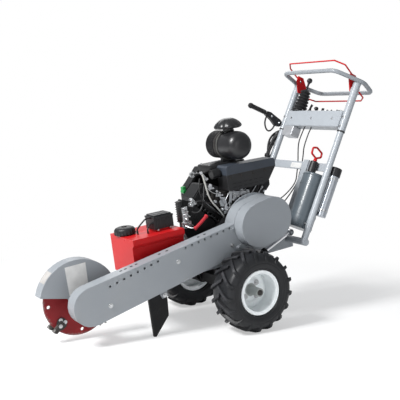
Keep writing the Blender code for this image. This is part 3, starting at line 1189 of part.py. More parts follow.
def build_cables(handle, colours):
    """Control cables and hoses that the machine holds from end to end."""
    low = CONSOLE_LOW - 0.0005
    rear = DRIVE_X + CRANKCASE_HALF_LENGTH
    throttle_route = [
        (-0.012, 0.050, low), (-0.012, 0.050, low - 0.010), (-0.016, 0.050, 0.640), (-0.014, 0.050, 0.570),
        (0.026, 0.050, 0.470), (0.040, 0.050, 0.425), (0.054, 0.050, 0.346), (0.005, 0.048, 0.244),
        (-0.080, 0.046, 0.150),
    ] + square_landing(rear, 0.044, 0.296)
    tube("throttle_cable", smooth_route(throttle_route, 4), 0.0035, colours["rubber"], handle)
    clutch_route = [
        (0.004, 0.010, low), (0.004, 0.010, low - 0.010), (0.000, 0.010, 0.640), (0.000, 0.008, 0.562),
        (0.014, 0.006, 0.505), (0.028, 0.006, 0.447), (0.031, 0.006, 0.400), (0.034, 0.008, 0.330),
        (-0.010, 0.010, 0.200), (-0.070, 0.012, 0.110),
    ] + square_landing(rear, 0.014, 0.262)
    tube("clutch_cable", smooth_route(clutch_route, 4), 0.0035, colours["rubber"], handle)
    y = POST_SPACING / 2 + UPPER_POST_RADIUS + 0.0112
    blower_y = CRANKCASE_FAR + 0.5 * BLOWER_THICKNESS
    hose_route = [
        (-0.004, y, DRIVE_LEVER_Z - 0.032), (-0.010, y, DRIVE_LEVER_Z - 0.074), (-0.024, y, 0.560),
        (-0.030, y - 0.004, 0.480), (-0.040, y - 0.050, 0.400), (-0.110, y - 0.120, 0.310),
    ] + square_landing(BLOWER_REAR, blower_y, 0.470, 0.090)
    tube("hose_bundle", smooth_route(hose_route, 4), 0.011, colours["rubber"], handle)


# ================================================================ assembly
def recentre(machine):
    """Moves the machine so that the middle of its box's bottom is at the origin."""
    depsgraph = bpy.context.evaluated_depsgraph_get()
    corners = []
    for piece in bpy.data.objects:
        if piece.type in {"MESH", "CURVE"} and not piece.hide_render:
            shape = piece.evaluated_get(depsgraph)
            mesh = shape.to_mesh()
            corners += [shape.matrix_world @ vertex.co for vertex in mesh.vertices]
            shape.to_mesh_clear()
    middle_x = (min(c.x for c in corners) + max(c.x for c in corners)) / 2
    middle_y = (min(c.y for c in corners) + max(c.y for c in corners)) / 2
    machine.location = (-middle_x, -middle_y, -min(c.z for c in corners))


def main():
    wipe_scene()
    colours = {
        "silver": paint("silver_paint", (0.62, 0.64, 0.66), 0.35, 0.5),
        "red": paint("red_paint", (0.75, 0.04, 0.04), 0.4),
        "dark_red": paint("cutter_red", (0.35, 0.02, 0.03), 0.5),
        "black": paint("black_paint", (0.03, 0.03, 0.03), 0.5),
        "engine": paint("engine_black", (0.04, 0.04, 0.045), 0.4),
        "gloss_black": paint("moulded_black", (0.02, 0.02, 0.02), 0.2),
        "aluminium": paint("cast_aluminium", (0.55, 0.56, 0.58), 0.4, 0.9),
        "steel": paint("steel", (0.5, 0.5, 0.52), 0.35, 1.0),
        "chrome": paint("chrome", (0.8, 0.8, 0.82), 0.1, 1.0),
        "grey": paint("tank_grey", (0.33, 0.38, 0.42), 0.45, 0.2),
        "white": paint("wheel_white", (0.85, 0.87, 0.88), 0.3),
        "tyre": paint("tyre_rubber", (0.03, 0.03, 0.035), 0.8),
        "rubber": paint("black_rubber", (0.02, 0.02, 0.02), 0.7),
    }
    machine = frame_empty("machine", (0.0, 0.0, 0.0), 0.0)
    chassis = frame_empty("chassis", (0.0, 0.0, CHASSIS_HEIGHT), -CHASSIS_PITCH, machine)
    boom = frame_empty("boom", (DRIVE_WORLD_X, 0.0, DRIVE_WORLD_Z), -BOOM_PITCH, machine)
    foot_x = HANDLE_FOOT_X * math.cos(CHASSIS_PITCH) - HANDLE_FOOT_Z * math.sin(CHASSIS_PITCH)
    foot_z = CHASSIS_HEIGHT + HANDLE_FOOT_X * math.sin(CHASSIS_PITCH) + HANDLE_FOOT_Z * math.cos(CHASSIS_PITCH)
    handle = frame_empty("handle", (foot_x, 0.0, foot_z), HANDLE_LEAN, machine)

    build_wheel("left", -1, machine, colours)
    build_wheel("right", 1, machine, colours)
    build_chassis(chassis, colours)
    build_fuel_tank(chassis, colours)
    build_engine(chassis, colours)
    build_pivot_plate(chassis, colours)
    build_boom(boom, colours)
    build_drive_shaft(boom, colours)
    build_cutter(boom, colours)
    build_stand_leg(boom, colours)
    build_lift_cylinder(chassis, colours)
    build_posts(handle, colours)
    build_ring(handle, colours)
    build_bail("front_bail", (BAIL_FRONT_X, BAIL_FRONT_Z), (-0.160, 1.036), colours, handle)
    build_bail("rear_bail", (BAIL_REAR_X, BAIL_REAR_Z), (0.122, 0.908), colours, handle)
    build_centre(handle, colours)
    build_console(handle, colours)
    build_drive_lever(handle, colours)
    build_document_tube(handle, colours)
    build_cables(handle, colours)
    bpy.context.view_layer.update()
    recentre(machine)
    bpy.context.view_layer.update()


main()
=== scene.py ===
"""Dresses a walk-behind stump grinder in its finished looks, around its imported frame."""

import json
import math

import bmesh
import bpy
from bpy.props import FloatProperty, FloatVectorProperty, IntProperty, PointerProperty
from mathutils import Matrix, Vector
from mathutils.bvhtree import BVHTree


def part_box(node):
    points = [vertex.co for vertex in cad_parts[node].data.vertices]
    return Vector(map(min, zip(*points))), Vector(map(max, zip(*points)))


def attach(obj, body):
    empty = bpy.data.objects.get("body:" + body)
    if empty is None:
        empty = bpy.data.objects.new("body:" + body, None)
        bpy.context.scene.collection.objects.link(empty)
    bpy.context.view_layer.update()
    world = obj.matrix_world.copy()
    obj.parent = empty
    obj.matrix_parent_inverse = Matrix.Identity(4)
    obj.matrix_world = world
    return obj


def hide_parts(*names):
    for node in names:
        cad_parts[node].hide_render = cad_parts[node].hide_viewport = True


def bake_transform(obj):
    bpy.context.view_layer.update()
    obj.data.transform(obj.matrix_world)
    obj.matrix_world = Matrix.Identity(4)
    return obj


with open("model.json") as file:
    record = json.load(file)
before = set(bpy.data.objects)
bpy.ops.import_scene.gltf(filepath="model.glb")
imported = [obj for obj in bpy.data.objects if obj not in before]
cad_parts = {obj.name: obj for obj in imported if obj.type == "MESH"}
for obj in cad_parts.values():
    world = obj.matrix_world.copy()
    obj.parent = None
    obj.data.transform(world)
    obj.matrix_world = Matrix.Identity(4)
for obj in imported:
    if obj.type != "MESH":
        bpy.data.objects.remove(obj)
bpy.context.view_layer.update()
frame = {"nodes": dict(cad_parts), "record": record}

bl_info = {
    "name": "Stump grinder looks",
    "version": (1, 0, 0),
    "blender": (4, 5, 0),
    "location": "3D View > Sidebar > Grinder",
    "description": "Tyres, engine, covers, controls and finishes of a walk-behind stump grinder",
    "category": "Object",
}

X = Vector((1.0, 0.0, 0.0))
Y = Vector((0.0, 1.0, 0.0))
Z = Vector((0.0, 0.0, 1.0))
NEAR = -Y
CUTTER_MIDDLE = -0.026          # across the machine, the middle of the cutter disc
DISC_HALF = 0.0063              # from that middle to either face of the disc
GUARD_FACE = -0.0600            # near faces of the guard and of the belt cover
COVER_FACE = -0.2198
WHEEL_SIDE = 0.3335             # from the machine's middle to the middle of a tyre, and up to the axle
WHEEL_HEIGHT = 0.2165
POST_SIDE = 0.270               # from the machine's middle to a handle post and to the travel lever
LEVER_SIDE = 0.304
SPRING_WIRE = 0.0007            # radius
BODY_OF = {node: body for body, nodes in frame["record"]["behaviour"]["bodies"].items() for node in nodes}
SLOT_OF = {part["node"]: part["material_slot"] for part in frame["record"]["subparts"]}


# ---------------------------------------------------------------- where each group stands
def leaning(x, z, degrees):
    """Frame of a group of parts: its origin in the side view, and its turn about the side-to-side axis."""
    return Matrix.Translation((x, 0.0, z)) @ Matrix.Rotation(math.radians(degrees), 4, "Y")


AXLE = sum(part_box("left_tyre"), Vector()) / 2
CUTTER_AXIS = Vector((AXLE.x - 0.86274, 0.0, 0.212))
GROUND = Matrix.Identity(4)
CHASSIS = leaning(AXLE.x, 0.2075, -8.0)
BOOM = leaning(AXLE.x + 0.10008, 0.53007, -18.282)
HANDLE = leaning(AXLE.x + 0.39595, 0.43098, 23.0)


# ---------------------------------------------------------------- shapes
def bar(shape, start, end, radius, sides=16, tip=None):
    """A round bar between two points, or a cone when the tip's radius differs."""
    start = Vector(start)
    along = Vector(end) - start
    turn = Z.rotation_difference(along).to_matrix().to_4x4()
    middle = Matrix.Translation(start + along / 2) @ turn
    return bmesh.ops.create_cone(shape, cap_ends=True, segments=sides, radius1=radius,
                                 radius2=radius if tip is None else tip, depth=along.length, matrix=middle)["verts"]


def brick(shape, low, high):
    """A box between two corners."""
    low = Vector(low)
    size = Vector(high) - low
    place = Matrix.Translation(low + size / 2) @ Matrix.Diagonal((*size, 1.0))
    return bmesh.ops.create_cube(shape, size=1.0, matrix=place)["verts"]


def lathe(shape, profile, centre, axis=Y, steps=48):
    """Spins a profile of (radius, height along the axis) points into a turned body."""
    centre = Vector(centre)
    side = axis.orthogonal().normalized()
    points = [shape.verts.new(centre + side * radius + axis * height) for radius, height in profile]
    edges = [shape.edges.new(pair) for pair in zip(points, points[1:])]
    before = set(shape.verts)
    bmesh.ops.spin(shape, geom=points + edges, cent=centre, axis=axis, angle=math.tau, steps=steps, use_merge=True)
    made = points + [vertex for vertex in shape.verts if vertex not in before]
    bmesh.ops.remove_doubles(shape, verts=made, dist=1e-6)


def puck(shape, radius, low, high, centre, axis=Y, steps=20):
    """A plain round slug."""
    lathe(shape, [(0.0, low), (radius, low), (radius, high), (0.0, high)], centre, axis, steps)


def sleeve(shape, inner, outer, low, high, centre, axis=Y, steps=48):
    """A plain tube wall, square at both ends."""
    lathe(shape, [(inner, low), (outer, low), (outer, high), (inner, high), (inner, low)], centre, axis, steps)


def stud(shape, radius, waist, shoulder, neck, top, seat, steps=16):
    """A boss towards the near side, narrowing to a share of its radius."""
    lathe(shape, [(0.0, 0.0), (radius, 0.0), (radius, shoulder), (radius * waist, neck), (radius * waist, top),
                  (0.0, top)], seat, NEAR, steps)


def ring(shape, centre, axis, radius, thickness, steps=32, sides=10):
    """A closed ring of round wire."""
    profile = [(radius + thickness * math.cos(math.tau * i / sides), thickness * math.sin(math.tau * i / sides))
               for i in range(sides + 1)]
    lathe(shape, profile, centre, axis, steps)


def slab(shape, outline, near, far):
    """A flat plate: an outline in the side view, pushed through from near to far."""
    face = shape.faces.new([shape.verts.new((x, near, z)) for x, z in outline])
    grown = bmesh.ops.extrude_face_region(shape, geom=[face])["geom"]
    moved = [item for item in grown if isinstance(item, bmesh.types.BMVert)]
    bmesh.ops.translate(shape, verts=moved, vec=(0.0, far - near, 0.0))


def join(target, part):
    """Moves one shape into another."""
    mesh = bpy.data.meshes.new("part")
    part.to_mesh(mesh)
    part.free()
    target.from_mesh(mesh)
    bpy.data.meshes.remove(mesh)


def spoke(radius, turn, side=0.0):
    """A point of a circle seen from the side of the machine."""
    return Vector((radius * math.cos(turn), side, radius * math.sin(turn)))


def hexagon_bolt(shape, seat, out, radius=0.006, height=0.005):
    """A washer and a chamfered hexagon head on it."""
    seat = Vector(seat)
    out = Vector(out).normalized()
    puck(shape, radius * 1.5, -0.0005, 0.0012, seat, out)
    bar(shape, seat + out * 0.001, seat + out * height, radius, 6)
    bar(shape, seat + out * height, seat + out * (height + 0.0012), radius * 0.98, 6, radius * 0.78)


SLOT_FOR = {finish: slot for slot, finishes in {
    "black_rubber": "rubber strap",
    "cast_aluminium": "aluminium",
    "engine_black": "engine",
    "moulded_black": "gloss green plastic void",
    "red_paint": "cable_red red",
    "silver_paint": "silver",
    "steel": "braid carbide forged steel zinc",
    "tank_grey": "tank",
    "tyre_rubber": "tyre",
    "wheel_white": "band_label label wheel",
}.items() for finish in finishes.split()}      # the slot of the drawn pieces, by finish
SURFACES = {}


def meets(node, start, direction, where=GROUND, needed=True):
    """Where a straight line first meets a piece of the frame, and the way it faces there, in the group's frame."""
    start = where @ Vector(start)
    direction = where.to_3x3() @ Vector(direction)
    if node not in SURFACES:
        mesh = frame["nodes"][node].data
        SURFACES[node] = BVHTree.FromPolygons([vertex.co for vertex in mesh.vertices],
                                              [tuple(face.vertices) for face in mesh.polygons])
    spot, facing, _, _ = SURFACES[node].ray_cast(start, direction)
    if spot is None:
        if needed:
            raise RuntimeError(f"a line from {tuple(start)} misses {node}")
        return None, None
    back = where.inverted()
    return back @ spot, back.to_3x3() @ facing


# ---------------------------------------------------------------- from shape to piece
def bolt_on(shape, node, spot, side, where, radius, height):
    """A bolt head where a line from a point, against its own facing, meets a node; none where it misses."""
    seat, _ = meets(node, spot, -side, where, False)
    if seat:
        hexagon_bolt(shape, seat, side, radius, height)


def settle(name, mesh, body, finish, slot, bevel=0.0, angle=35.0):
    """Names a mesh as a piece of a body, gives it a finish, and rounds its edges."""
    mesh.materials.clear()
    mesh.materials.append(FINISHES[finish])
    for face in mesh.polygons:
        face.use_smooth = True
        face.material_index = 0
    mesh.set_sharp_from_angle(angle=math.radians(angle))
    piece = bpy.data.objects.new(name, mesh)
    bpy.context.scene.collection.objects.link(piece)
    if bevel:
        rounding = piece.modifiers.new("rounded edges", "BEVEL")
        rounding.width = bevel
        rounding.segments = 2
        rounding.limit_method = "ANGLE"
        rounding.angle_limit = math.radians(angle)
        rounding.harden_normals = True
    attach(piece, body)
    return piece


def make(name, shape, body, finish, where=GROUND, slot=None, **rounding):
    """Turns a shape drawn in a group's own frame into a piece."""
    shape.transform(where)
    bmesh.ops.remove_doubles(shape, verts=shape.verts, dist=1e-6)
    bmesh.ops.recalc_face_normals(shape, faces=shape.faces)
    mesh = bpy.data.meshes.new(name)
    shape.to_mesh(mesh)
    shape.free()
    return settle(name, mesh, body, finish, slot or SLOT_FOR[finish], **rounding)


def bored(mesh, drills):
    """A copy of a mesh with round holes through it; each drill is (start, end, radius)."""
    shape = bmesh.new()
    for start, end, radius in drills:
        bar(shape, start, end, radius, 20)
    cutter_mesh = bpy.data.meshes.new("drills")
    shape.to_mesh(cutter_mesh)
    shape.free()
    cutter = bpy.data.objects.new("drills", cutter_mesh)
    solid = bpy.data.objects.new("drilled", mesh)
    for item in (cutter, solid):
        bpy.context.scene.collection.objects.link(item)
    cutting = solid.modifiers.new("holes", "BOOLEAN")
    cutting.operation = "DIFFERENCE"
    cutting.solver = "EXACT"
    cutting.object = cutter
    done = bpy.data.meshes.new_from_object(solid.evaluated_get(bpy.context.evaluated_depsgraph_get()))
    for item in (cutter, solid):
        bpy.data.objects.remove(item)
    return done


def dress(node, finish, bevel=0.0012, angle=32.0, drills=()):
    """Stands a rounded, smooth-shaded copy of a node in its place."""
    shape = bmesh.new()
    shape.from_mesh(frame["nodes"][node].data)
    bmesh.ops.remove_doubles(shape, verts=shape.verts, dist=1e-5)
    bmesh.ops.dissolve_limit(shape, angle_limit=math.radians(0.5), verts=shape.verts, edges=shape.edges)
    mesh = bpy.data.meshes.new(node)
    shape.to_mesh(mesh)
    shape.free()
    if drills:
        mesh = bored(mesh, drills)
    piece = settle(node + "_body", mesh, BODY_OF[node], finish, SLOT_OF[node], bevel, angle)
    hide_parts(node)
    return piece


def hose(name, route, radius, body, finish, sides=4, nodes=(), where=GROUND):
    """A bent tube past the given points of a group's frame."""
    curve = bpy.data.curves.new(name, "CURVE")
    curve.dimensions = "3D"
    curve.bevel_depth = radius
    curve.bevel_resolution = sides
    curve.use_fill_caps = True
    curve.resolution_u = 8
    line = curve.splines.new("NURBS")
    line.points.add(len(route) - 1)
    for point, spot in zip(line.points, route):
        point.co = (*(where @ Vector(spot)), 1.0)
    line.order_u = min(4, len(route))
    line.use_endpoint_u = True
    holder = bpy.data.objects.new(name, curve)
    mesh = bpy.data.meshes.new_from_object(holder)
    bpy.data.objects.remove(holder)
    piece = settle(name, mesh, body, finish, SLOT_FOR[finish], angle=50.0)
    if nodes:
        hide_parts(*nodes)
    return piece


# ---------------------------------------------------------------- finishes
class Signal:
    """One output socket. Sums written on it become Math nodes."""

    def __init__(self, tree, socket):
        self.tree = tree
        self.socket = socket

    def maths(self, operation, first, second):
        return self.tree.node("ShaderNodeMath", {"operation": operation}, {0: first, 1: second})

    def __add__(self, other):
        return self.maths("ADD", self, other)

    def __sub__(self, other):
        return self.maths("SUBTRACT", self, other)

    def __rsub__(self, other):
        return self.maths("SUBTRACT", other, self)

    def __mul__(self, other):
        return self.maths("MULTIPLY", self, other)

    __radd__ = __add__
    __rmul__ = __mul__


class Nodes:
    """The nodes of a material or of the world."""

    def __init__(self, owner):
        owner.use_nodes = True
        self.tree = owner.node_tree

    def node(self, kind, settings, values, output=0):
        made = self.tree.nodes.new(kind)
        for name, value in settings.items():
            setattr(made, name, value)
        for name, value in values.items():
            if isinstance(value, Signal):
                self.tree.links.new(value.socket, made.inputs[name])
            else:
                made.inputs[name].default_value = value
        return Signal(self, made.outputs[output]) if made.outputs else None

    def rise(self, value, low, high, least=0.0, most=1.0):
        """The least below low, the most above high, smooth between them; low above high turns it round."""
        return self.node("ShaderNodeMapRange", {"interpolation_type": "SMOOTHSTEP"},
                         {"Value": value, "From Min": low, "From Max": high, "To Min": least, "To Max": most})


class Finish(Nodes):
    """A material, and the patterns that its shader is fed with."""

    def __init__(self, name, **fixed):
        self.material = bpy.data.materials.new(name)
        super().__init__(self.material)
        self.shader = self.tree.nodes["Principled BSDF"]
        self.place = self.node("ShaderNodeTexCoord", {}, {}, "Object")
        for name, value in fixed.items():
            self.shader.inputs[name.replace("_", " ").title().replace("Ior", "IOR")].default_value = value

    def maths_on(self, operation, value):
        return self.node("ShaderNodeMath", {"operation": operation}, {0: value})

    def noise(self, scale, detail=2.0, rough=0.5, stretch=(1.0, 1.0, 1.0)):
        place = self.place
        if stretch != (1.0, 1.0, 1.0):
            place = self.node("ShaderNodeMapping", {}, {"Vector": place, "Scale": stretch})
        return self.node("ShaderNodeTexNoise", {},
                         {"Vector": place, "Scale": scale, "Detail": detail, "Roughness": rough})

    def along(self, direction, origin=(0.0, 0.0, 0.0)):
        offset = self.node("ShaderNodeVectorMath", {"operation": "SUBTRACT"}, {0: self.place, 1: tuple(origin)})
        return self.node("ShaderNodeVectorMath", {"operation": "DOT_PRODUCT"}, {0: offset, 1: tuple(direction)},
                         "Value")

    def distance(self, origin):
        return self.node("ShaderNodeVectorMath", {"operation": "DISTANCE"}, {0: self.place, 1: tuple(origin)}, "Value")

    def reach(self, centre):
        """Distance from a side-to-side axis through a point."""
        flat = self.node("ShaderNodeVectorMath", {"operation": "MULTIPLY"}, {0: self.place, 1: (1.0, 0.0, 1.0)})
        return self.node("ShaderNodeVectorMath", {"operation": "DISTANCE"},
                         {0: flat, 1: (centre[0], 0.0, centre[2])}, "Value")

    def mix(self, share, first, second):
        first, second = ((*c, 1.0) if isinstance(c, (tuple, list)) and len(c) == 3 else c for c in (first, second))
        return self.node("ShaderNodeMix", {"data_type": "RGBA"}, {0: share, 6: first, 7: second}, 2)

    def relief(self, height, strength, depth):
        bump = self.node("ShaderNodeBump", {}, {"Height": height, "Strength": strength, "Distance": depth})
        self.feed("Normal", bump)

    def feed(self, name, signal):
        self.tree.links.new(signal.socket, self.shader.inputs[name])


def shade(colour, share):
    return tuple(min(1.0, part * share) for part in colour[:3])


DUST = (0.30, 0.26, 0.21)


def paint(name, colour, rough=0.3, coat=0.2, dust=0.35, cloud=0.07, peel=0.05, gloss=0.3):
    """Sprayed gloss paint: faint clouding, orange peel, and dust that gathers low down."""
    finish = Finish(name, coat_weight=coat, coat_roughness=0.12, specular_ior_level=gloss)
    patch = finish.noise(7.0, 3.0)
    speck = finish.noise(160.0, 3.0, 0.65)
    low = finish.rise(finish.along(Z), 0.45, 0.05)
    dirt = low * finish.rise(patch * 0.5 + speck * 0.5, 0.46, 0.68) * dust
    base = finish.mix(patch, shade(colour, 1.0 - cloud), shade(colour, 1.0 + cloud))
    finish.feed("Base Color", finish.mix(dirt, base, DUST))
    finish.feed("Roughness", rough + finish.noise(24.0, 2.0) * 0.12 + dirt * 0.4 - 0.06)
    finish.relief(finish.noise(520.0, 1.0), peel, 0.0004)
    return finish.material


def casting(name, colour, rough=0.5, metallic=0.0, grain=0.3, gloss=0.0):
    """Painted or bare casting with a sand-cast grain."""
    finish = Finish(name, metallic=metallic, coat_weight=gloss, coat_roughness=0.2, specular_ior_level=0.3)
    patch = finish.noise(18.0, 4.0, 0.6)
    grit = finish.noise(420.0, 3.0, 0.6)
    oil = finish.rise(finish.noise(6.0, 2.0), 0.48, 0.7)
    base = finish.mix(patch, shade(colour, 0.7), shade(colour, 1.3))
    finish.feed("Base Color", finish.mix(finish.rise(grit, 0.6, 0.8) * 0.25, base, shade(colour, 2.2)))
    finish.feed("Roughness", rough + patch * 0.2 - oil * 0.15 - 0.06)
    finish.relief(grit, grain, 0.0006)
    return finish.material


def bright_metal(name, colour, rough=0.28, direction=(1.0, 1.0, 0.04), scale=260.0, wear=0.2):
    """Bare metal with fine brush lines and duller patches."""
    finish = Finish(name, metallic=1.0)
    lines = finish.noise(scale, 2.0, 0.6, direction)
    patch = finish.noise(14.0, 3.0)
    finish.feed("Base Color", finish.mix(patch * 0.6 + lines * 0.4, shade(colour, 0.78), shade(colour, 1.1)))
    finish.feed("Roughness", rough + lines * 0.12 + patch * wear - 0.1)
    finish.relief(lines, 0.05, 0.0002)
    return finish.material


def moulded(name, colour, rough=0.35, grain=0.12, scale=700.0, gloss=0.35):
    """Moulded plastic with a fine leather grain."""
    finish = Finish(name, specular_ior_level=gloss)
    patch = finish.noise(20.0, 2.0)
    grit = finish.noise(scale, 2.0, 0.6)
    finish.feed("Base Color", finish.mix(patch, shade(colour, 0.8), shade(colour, 1.25)))
    finish.feed("Roughness", rough + grit * 0.1 + patch * 0.1 - 0.1)
    finish.relief(grit, grain, 0.0003)
    return finish.material


def tyre_rubber(name, colour):
    """Tread rubber: grey bloom on the sides; the lugs' outer faces lighter and bluish, partly dry soil worked into
    them and partly a painted highlight.
    """
    finish = Finish(name, specular_ior_level=0.35)
    patch = finish.noise(16.0, 4.0, 0.6)
    grit = finish.noise(300.0, 3.0, 0.6)
    # lighter lug faces: dry soil and painted highlight
    rubbed_soil_and_painted_highlight = finish.rise(finish.reach((AXLE.x, 0.0, AXLE.z)), 0.205, 0.2165) * finish.rise(patch, 0.35, 0.65)
    base = finish.mix(patch, shade(colour, 0.75), shade(colour, 1.5))
    finish.feed("Base Color", finish.mix(rubbed_soil_and_painted_highlight * 0.3, base, (0.09, 0.09, 0.10)))
    finish.feed("Roughness", 0.38 + patch * 0.2 + rubbed_soil_and_painted_highlight * 0.12)
    finish.relief(grit * 0.4 + patch * 0.6, 0.2, 0.0008)
    return finish.material


def worn_disc(name, colour):
    """Red disc paint, scoured to bare steel towards its rim."""
    finish = Finish(name, coat_weight=0.05, coat_roughness=0.3, specular_ior_level=0.2)
    reach = finish.distance(CUTTER_AXIS + Vector((0.0, -0.032, 0.0)))
    scratch = finish.noise(90.0, 4.0, 0.7)
    patch = finish.noise(22.0, 3.0, 0.6)
    worn = finish.rise(reach + scratch * 0.05 + patch * 0.03, 0.212, 0.236)
    proud = finish.maths_on("ABSOLUTE", finish.along(Y, (0.0, CUTTER_MIDDLE, 0.0)))
    tooth = finish.rise(finish.reach(CUTTER_AXIS), 0.1842, 0.1848)
    tooth = tooth + (1.0 - tooth) * finish.rise(proud, DISC_HALF, DISC_HALF + 0.0004) * finish.rise(reach, 0.128,
                                                                                                    0.130)
    base = finish.mix(patch, shade(colour, 0.8), shade(colour, 1.25))
    base = finish.mix(finish.rise(scratch, 0.62, 0.72) * 0.3, base, shade(colour, 0.45))
    base = finish.mix(worn, base, (0.22, 0.20, 0.19))
    finish.feed("Base Color", finish.mix(tooth, base, (0.075, 0.07, 0.065)))
    finish.feed("Metallic", worn * 0.5)
    finish.feed("Roughness", 0.42 + patch * 0.15 - worn * 0.05)
    finish.relief(scratch, 0.12, 0.0006)
    return finish.material


def wheel_paint(name, colour, hub):
    """White rim paint, with the greased grey hub showing round the axle and dust in the dish."""
    finish = Finish(name, coat_weight=0.35, coat_roughness=0.15)
    patch = finish.noise(9.0, 3.0, 0.6)
    speck = finish.noise(140.0, 3.0, 0.65)
    reach = finish.reach((AXLE.x, 0.0, AXLE.z))
    greased = finish.rise(reach + patch * 0.010, 0.044, 0.036)
    dirt = finish.rise(patch * 0.6 + speck * 0.4, 0.46, 0.72) * finish.rise(reach, 0.118, 0.06) * 0.35
    base = finish.mix(patch, shade(colour, 0.93), shade(colour, 1.05))
    base = finish.mix(dirt, base, (0.36, 0.36, 0.34))
    finish.feed("Base Color", finish.mix(greased, base, hub))
    finish.feed("Roughness", 0.3 + greased * 0.2 + dirt * 0.4)
    finish.relief(speck, 0.06, 0.0004)
    return finish.material


def muffler_with_painted_sky_band(name, colour, upper):
    """Black heat-proof paint, with a painted sky reflection in lighter blue-grey on its rolled upper half."""
    finish = Finish(name)
    height = finish.along(CHASSIS.to_3x3() @ Z, CHASSIS.translation)
    # painted sky reflection: above this height the colour turns to the lighter blue-grey band
    band = finish.rise(height, 0.600, 0.603)
    patch = finish.noise(14.0, 3.0)
    grit = finish.noise(380.0, 2.0)
    base = finish.mix(patch, shade(colour, 0.8), shade(colour, 1.3))
    lit = finish.mix(patch, shade(upper, 0.9), shade(upper, 1.15))
    finish.feed("Base Color", finish.mix(band, base, lit))
    finish.feed("Roughness", 0.42 + patch * 0.15)
    finish.relief(grit, 0.12, 0.0004)
    return finish.material


# ---------------------------------------------------------------- what a user may change
class GrinderSizes(bpy.types.PropertyGroup):
    """Sizes of the dressed-on parts."""
    lug_count: IntProperty(name="Lugs", description="Tread lugs on each half of a tyre", default=17, min=8, max=30)
    lug_height: FloatProperty(name="Lug height", description="Height of a lug over the tyre's casing", default=0.0135,
                              min=0.004, max=0.03, unit="LENGTH")
    bolt_radius: FloatProperty(name="Bolt size", description="Radius across the corners of the cover bolts",
                               default=0.0062, min=0.003, max=0.01, unit="LENGTH")
    boot_folds: IntProperty(name="Boot folds", description="Folds of the joystick's rubber boot", default=7, min=3,
                            max=12)
    floor_reach: FloatProperty(name="Floor", description="Half the width of the pale floor", default=30.0, min=4.0,
                               max=60.0, unit="LENGTH")


def colour_property(label, default):
    return FloatVectorProperty(name=label, description=label + " colour", subtype="COLOR", size=3, default=default,
                               min=0.0, max=1.0)


class GrinderColours(bpy.types.PropertyGroup):
    """Colours of the finishes."""
    silver: colour_property("Silver-grey paint", (0.27, 0.29, 0.312))
    red: colour_property("Red paint", (0.50, 0.012, 0.014))
    disc: colour_property("Cutter disc", (0.20, 0.010, 0.013))
    black: colour_property("Black paint", (0.009, 0.009, 0.010))
    engine: colour_property("Engine black", (0.011, 0.011, 0.012))
    # the colour of the painted sky reflection on the muffler's upper half
    muffler: colour_property("Muffler's upper band", (0.034, 0.042, 0.056))
    tank: colour_property("Hydraulic tank", (0.088, 0.108, 0.125))
    wheel: colour_property("Wheel white", (0.90, 0.94, 0.95))
    tyre: colour_property("Tyre rubber", (0.0085, 0.009, 0.0105))


FINISHES = {}


def prepare_finishes(colours):
    """Makes every finish once, from the panel's colours."""
    silver = tuple(colours.silver)
    black = tuple(colours.black)
    engine = tuple(colours.engine)
    FINISHES.update({
        "silver": paint("silver_grey_paint", silver, 0.34, 0.15, 0.3, 0.06),
        # the same silver paint, 1.32 times lighter on the handle and console: painted light
        "handle": paint("silver_paint_painted_lighter_on_handle", shade(silver, 1.32), 0.34, 0.15, 0.3, 0.06),
        "red": paint("gloss_red_paint", tuple(colours.red), 0.30, 0.0, 0.03, 0.10, gloss=0.12),
        "disc": worn_disc("scoured_red_paint", tuple(colours.disc)),
        "black": paint("satin_black_paint", black, 0.42, 0.0, 0.06, 0.25, peel=0.12, gloss=0.15),
        "engine": casting("engine_black_casting", engine, 0.42, 0.0, 0.25, 0.05),
        "gloss": moulded("gloss_black_moulding", shade(black, 1.3), 0.32, 0.03, gloss=0.5),
        "plastic": moulded("black_plastic", shade(black, 1.4), 0.42, 0.2),
        "muffler": muffler_with_painted_sky_band("heat_proof_paint_with_painted_sky_band", engine, tuple(colours.muffler)),
        "aluminium": casting("cast_aluminium", (0.50, 0.51, 0.53), 0.32, 0.45, 0.2),
        "drawn": bright_metal("drawn_aluminium", (0.50, 0.53, 0.57), 0.36, (1.0, 1.0, 0.06), wear=0.08),
        "steel": bright_metal("machined_steel", (0.56, 0.56, 0.57), 0.3),
        "zinc": bright_metal("zinc_plated_steel", (0.56, 0.57, 0.58), 0.24, scale=90.0),
        "chrome": bright_metal("chromed_rod", (0.80, 0.80, 0.82), 0.12, wear=0.05),
        "forged": casting("forged_steel", (0.045, 0.042, 0.040), 0.5, 0.6, 0.5),
        "carbide": bright_metal("carbide_tip", (0.30, 0.29, 0.28), 0.35, scale=500.0),
        "tank": paint("blue_grey_paint", tuple(colours.tank), 0.36, 0.25, 0.2, 0.08),
        "wheel": wheel_paint("wheel_white_paint", tuple(colours.wheel), (0.30, 0.32, 0.31)),
        "tyre": tyre_rubber("lug_tyre_rubber", tuple(colours.tyre)),
        "rubber": moulded("hose_rubber", (0.014, 0.014, 0.015), 0.5, 0.25, 420.0),
        "label": moulded("bare_label_film", (0.62, 0.62, 0.61), 0.5, 0.03, 300.0, gloss=0.2),
        # the same label film, painted darker on the brightly lit guard band: painted shade
        "band_label": moulded("bare_band_label_film", (0.40, 0.385, 0.37), 0.5, 0.03, 300.0, gloss=0.2),
        "strap": moulded("grey_strap", (0.085, 0.085, 0.080), 0.5, 0.2, 420.0, gloss=0.2),
        # near-black colour standing in for the inside of holes: painted shade
        "void": moulded("painted_shade_in_slots", (0.006, 0.006, 0.007), 0.8, 0.1),
        "green": moulded("green_plastic", (0.015, 0.22, 0.05), 0.4, 0.1),
        "cable_red": moulded("red_cable_sleeve", (0.40, 0.025, 0.035), 0.5, 0.15, gloss=0.2),
        "braid": bright_metal("braided_sleeve", (0.55, 0.55, 0.52), 0.4, (1.0, 1.0, 1.0), 700.0),
    })


def sizes():
    return bpy.context.scene.grinder_sizes


